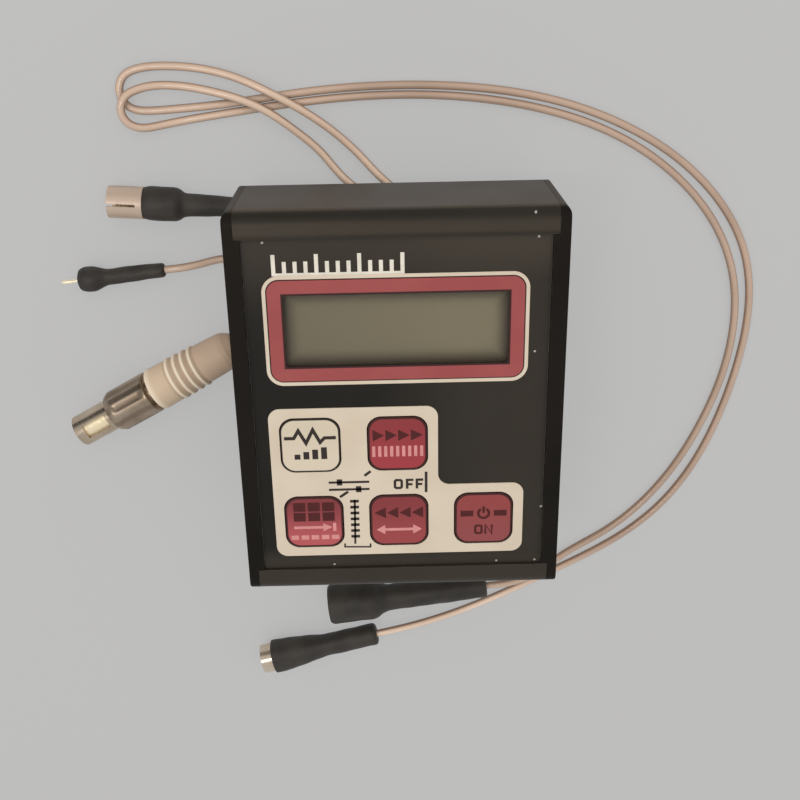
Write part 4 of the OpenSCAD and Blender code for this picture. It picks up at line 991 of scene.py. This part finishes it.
# Painted light makes the top of each jacket paler, and painted shade browns its flanks.
lit_upper_side = (jacket_map.axis("Y") * (2 * np.pi)).math("SINE").rise(0.25, 0.95)
duller_stretches = (along.rise(0, 80) * 0.45 + along.rise(110, 230) * 0.3) * (1 - along.rise(455, 510))
duller_stretches = duller_stretches + place.noise(20, 2).rise(0.35, 0.65) * 0.25
pores = place.noise(2400)
finish(lead_jacket, start, {
    "Base Color": lit_upper_side.mix(lead_brown, duller_stretches.mix(lead_pale, lead_peach)),
    "Roughness": 0.4 + pores * 0.12,
    "Coat Weight": 0.9,
    "Coat Roughness": 0.07,
    "Normal": pores.bump(0.3, 0.02),
})
inner_jacket = stock("inner_jacket", lead_peach, lead_brown, 400, 0.45)
dress(["inner_leads"], inner_jacket)


def smooth_route(points, spacing=0.8):
    """Runs a natural cubic spline through a route: each stretch is a cubic in the chord length, its bend is
    continuous at the points and zero at the two ends, and it never sinks into the table."""
    route = np.array(points, float)
    steps = np.diff(route, axis=0)
    chord = np.linalg.norm(steps, axis=1)
    knots = np.append(0, chord.cumsum())
    inner = np.arange(1, len(route) - 1)
    system = np.eye(len(route))
    system[inner, inner - 1] = chord[:-1]
    system[inner, inner] = 2 * (chord[:-1] + chord[1:])
    system[inner, inner + 1] = chord[1:]
    change = np.zeros_like(route)
    change[1:-1] = 6 * np.diff(steps / chord[:, None], axis=0)
    bend = np.linalg.solve(system, change)
    along = np.linspace(0, knots[-1], int(knots[-1] / spacing))
    part = np.clip(np.searchsorted(knots, along, side="right") - 1, 0, len(chord) - 1)
    span = chord[part][:, None]
    right = ((along - knots[part]) / chord[part])[:, None]
    left = 1 - right
    curve = left * route[part] + right * route[part + 1]
    curve += ((left ** 3 - left) * bend[part] + (right ** 3 - right) * bend[part + 1]) * span ** 2 / 6
    curve[:, 2] = np.maximum(curve[:, 2], lead_radius)
    return curve


def tube(path, radius, count=14):
    """Carries a circle along a path that is never upright: its level axis is square to the path and to Z.
    Each end is drawn together to close it."""
    way = np.gradient(path, axis=0)
    way /= np.linalg.norm(way, axis=1, keepdims=True)
    level = np.cross(way, (0, 0, 1))
    level /= np.linalg.norm(level, axis=1, keepdims=True)
    upright = np.cross(level, way)
    angle = np.linspace(0, 2 * np.pi, count + 1)[None, :, None]
    rings = path[:, None] + radius * (np.cos(angle) * level[:, None] + np.sin(angle) * upright[:, None])
    ends = np.repeat(path[[0, -1], None], count + 1, axis=1)
    return np.concatenate((ends[:1], rings, ends[1:]))


def lead(node, points):
    path = smooth_route(points)
    piece = skin(node + "_jacket", [tube(path, lead_radius)], lead_jacket, sharp=80)
    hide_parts(node)
    path * mm


lead("lead_a", [
    (6, 38, 5), (6, 45, 5), (2.4, 52, 3.2), (-4, 57.9, 1.8), (-10.2, 64.6, 1.6), (-22, 75.3, 3.3),
    (-28, 79.4, 4.2), (-37, 84.4, 4.2), (-45, 88, 3.1), (-57, 91.1, 1.5), (-67.6, 92, 1.3),
    (-72.7, 91.8, 1.3), (-76.4, 91.1, 1.3), (-79.5, 89.5, 1.3), (-81.2, 86.5, 1.3), (-81, 83.1, 1.3),
    (-78.9, 80.4, 1.3), (-75.6, 79.3, 1.3), (-71.6, 79.2, 1.3), (-66, 79.5, 1.3), (-52, 80.6, 1.3),
    (-27.6, 83.6, 1.3), (-3, 85.2, 1.3), (24, 84.2, 1.3), (50.2, 79.6, 1.3), (68.7, 72.9, 1.3),
    (86, 63, 1.3), (100.5, 49.8, 1.3), (110.6, 33.8, 1.3), (114.7, 15.2, 1.3), (113.5, -4.8, 1.3),
    (109.1, -24.3, 1.3), (102.2, -42.4, 1.3), (91.8, -58.6, 1.3), (77.3, -71.8, 1.3), (60, -82.2, 1.3),
    (41, -92, 1.5), (20.4, -100, 3.6), (0.3, -104.9, 6.1), socket_a_end,
])
lead("lead_b", [
    (-2, 38, 5), (-2, 45, 5), (-6.8, 51.2, 3.2), (-15, 57.5, 1.8), (-22.4, 66.2, 1.7),
    (-28.2, 71.6, 2.5), (-33.9, 76.2, 3.7), (-39.5, 79.8, 4.3), (-46, 82.6, 4.3), (-54, 84.8, 3.5),
    (-66.5, 86.6, 2.4), (-71.6, 86.5, 2.7), (-75.6, 85.7, 3.4), (-78.9, 84.1, 4), (-80.7, 81.2, 4.3),
    (-80.5, 77.9, 4.1), (-78.4, 75.4, 3.5), (-75.2, 74.4, 2.8), (-71.3, 74.7, 2), (-66, 75.6, 1.4),
    (-52, 77.7, 1.3), (-27.7, 80.8, 1.3), (-3, 82.4, 1.3), (21, 81.5, 1.3), (43.3, 77.9, 1.3),
    (60, 72.8, 1.3), (75.8, 65, 1.3), (89.9, 54.2, 1.3), (101.2, 40.7, 1.3), (108.3, 24.9, 1.3),
    (110.5, 7.6, 1.3), (108.5, -10.1, 1.3), (103.1, -27.5, 1.3), (95.3, -43.7, 1.3),
    (85.3, -57.6, 1.3), (72.4, -69.3, 1.3), (57.5, -78.4, 2.2), (47, -84, 5.3), (38, -86.2, 7.3),
    socket_b_end,
])
lead("coax_lead", [
    (-16, 27, 5), (-21, 27, 5), (-25.5, 29.6, 3.8), (-27.6, 35, 2.2), (-28.6, 41, 1.5),
    (-31.6, 46.4, 1.8), (-37, 49.4, 3.6), (-43, 50, 5.3), coax_end,
])
lead("pin_lead", [
    (-16, 21, 5), (-22, 21, 5), (-30, 22.4, 3.8), (-38, 26.6, 2), (-46, 31.4, 1.3),
    (-55, 33, 1.3), (-61.5, 32, 2.8), (-66.8, 31.3, 4.1), pin_end,
])
lead("sensor_lead", [
    (-16, 15, 5), (-22, 15, 5), (-30, 14.6, 4.4), (-38, 12.9, 5.4), (-45, 9.8, 7.2), sensor_end,
])
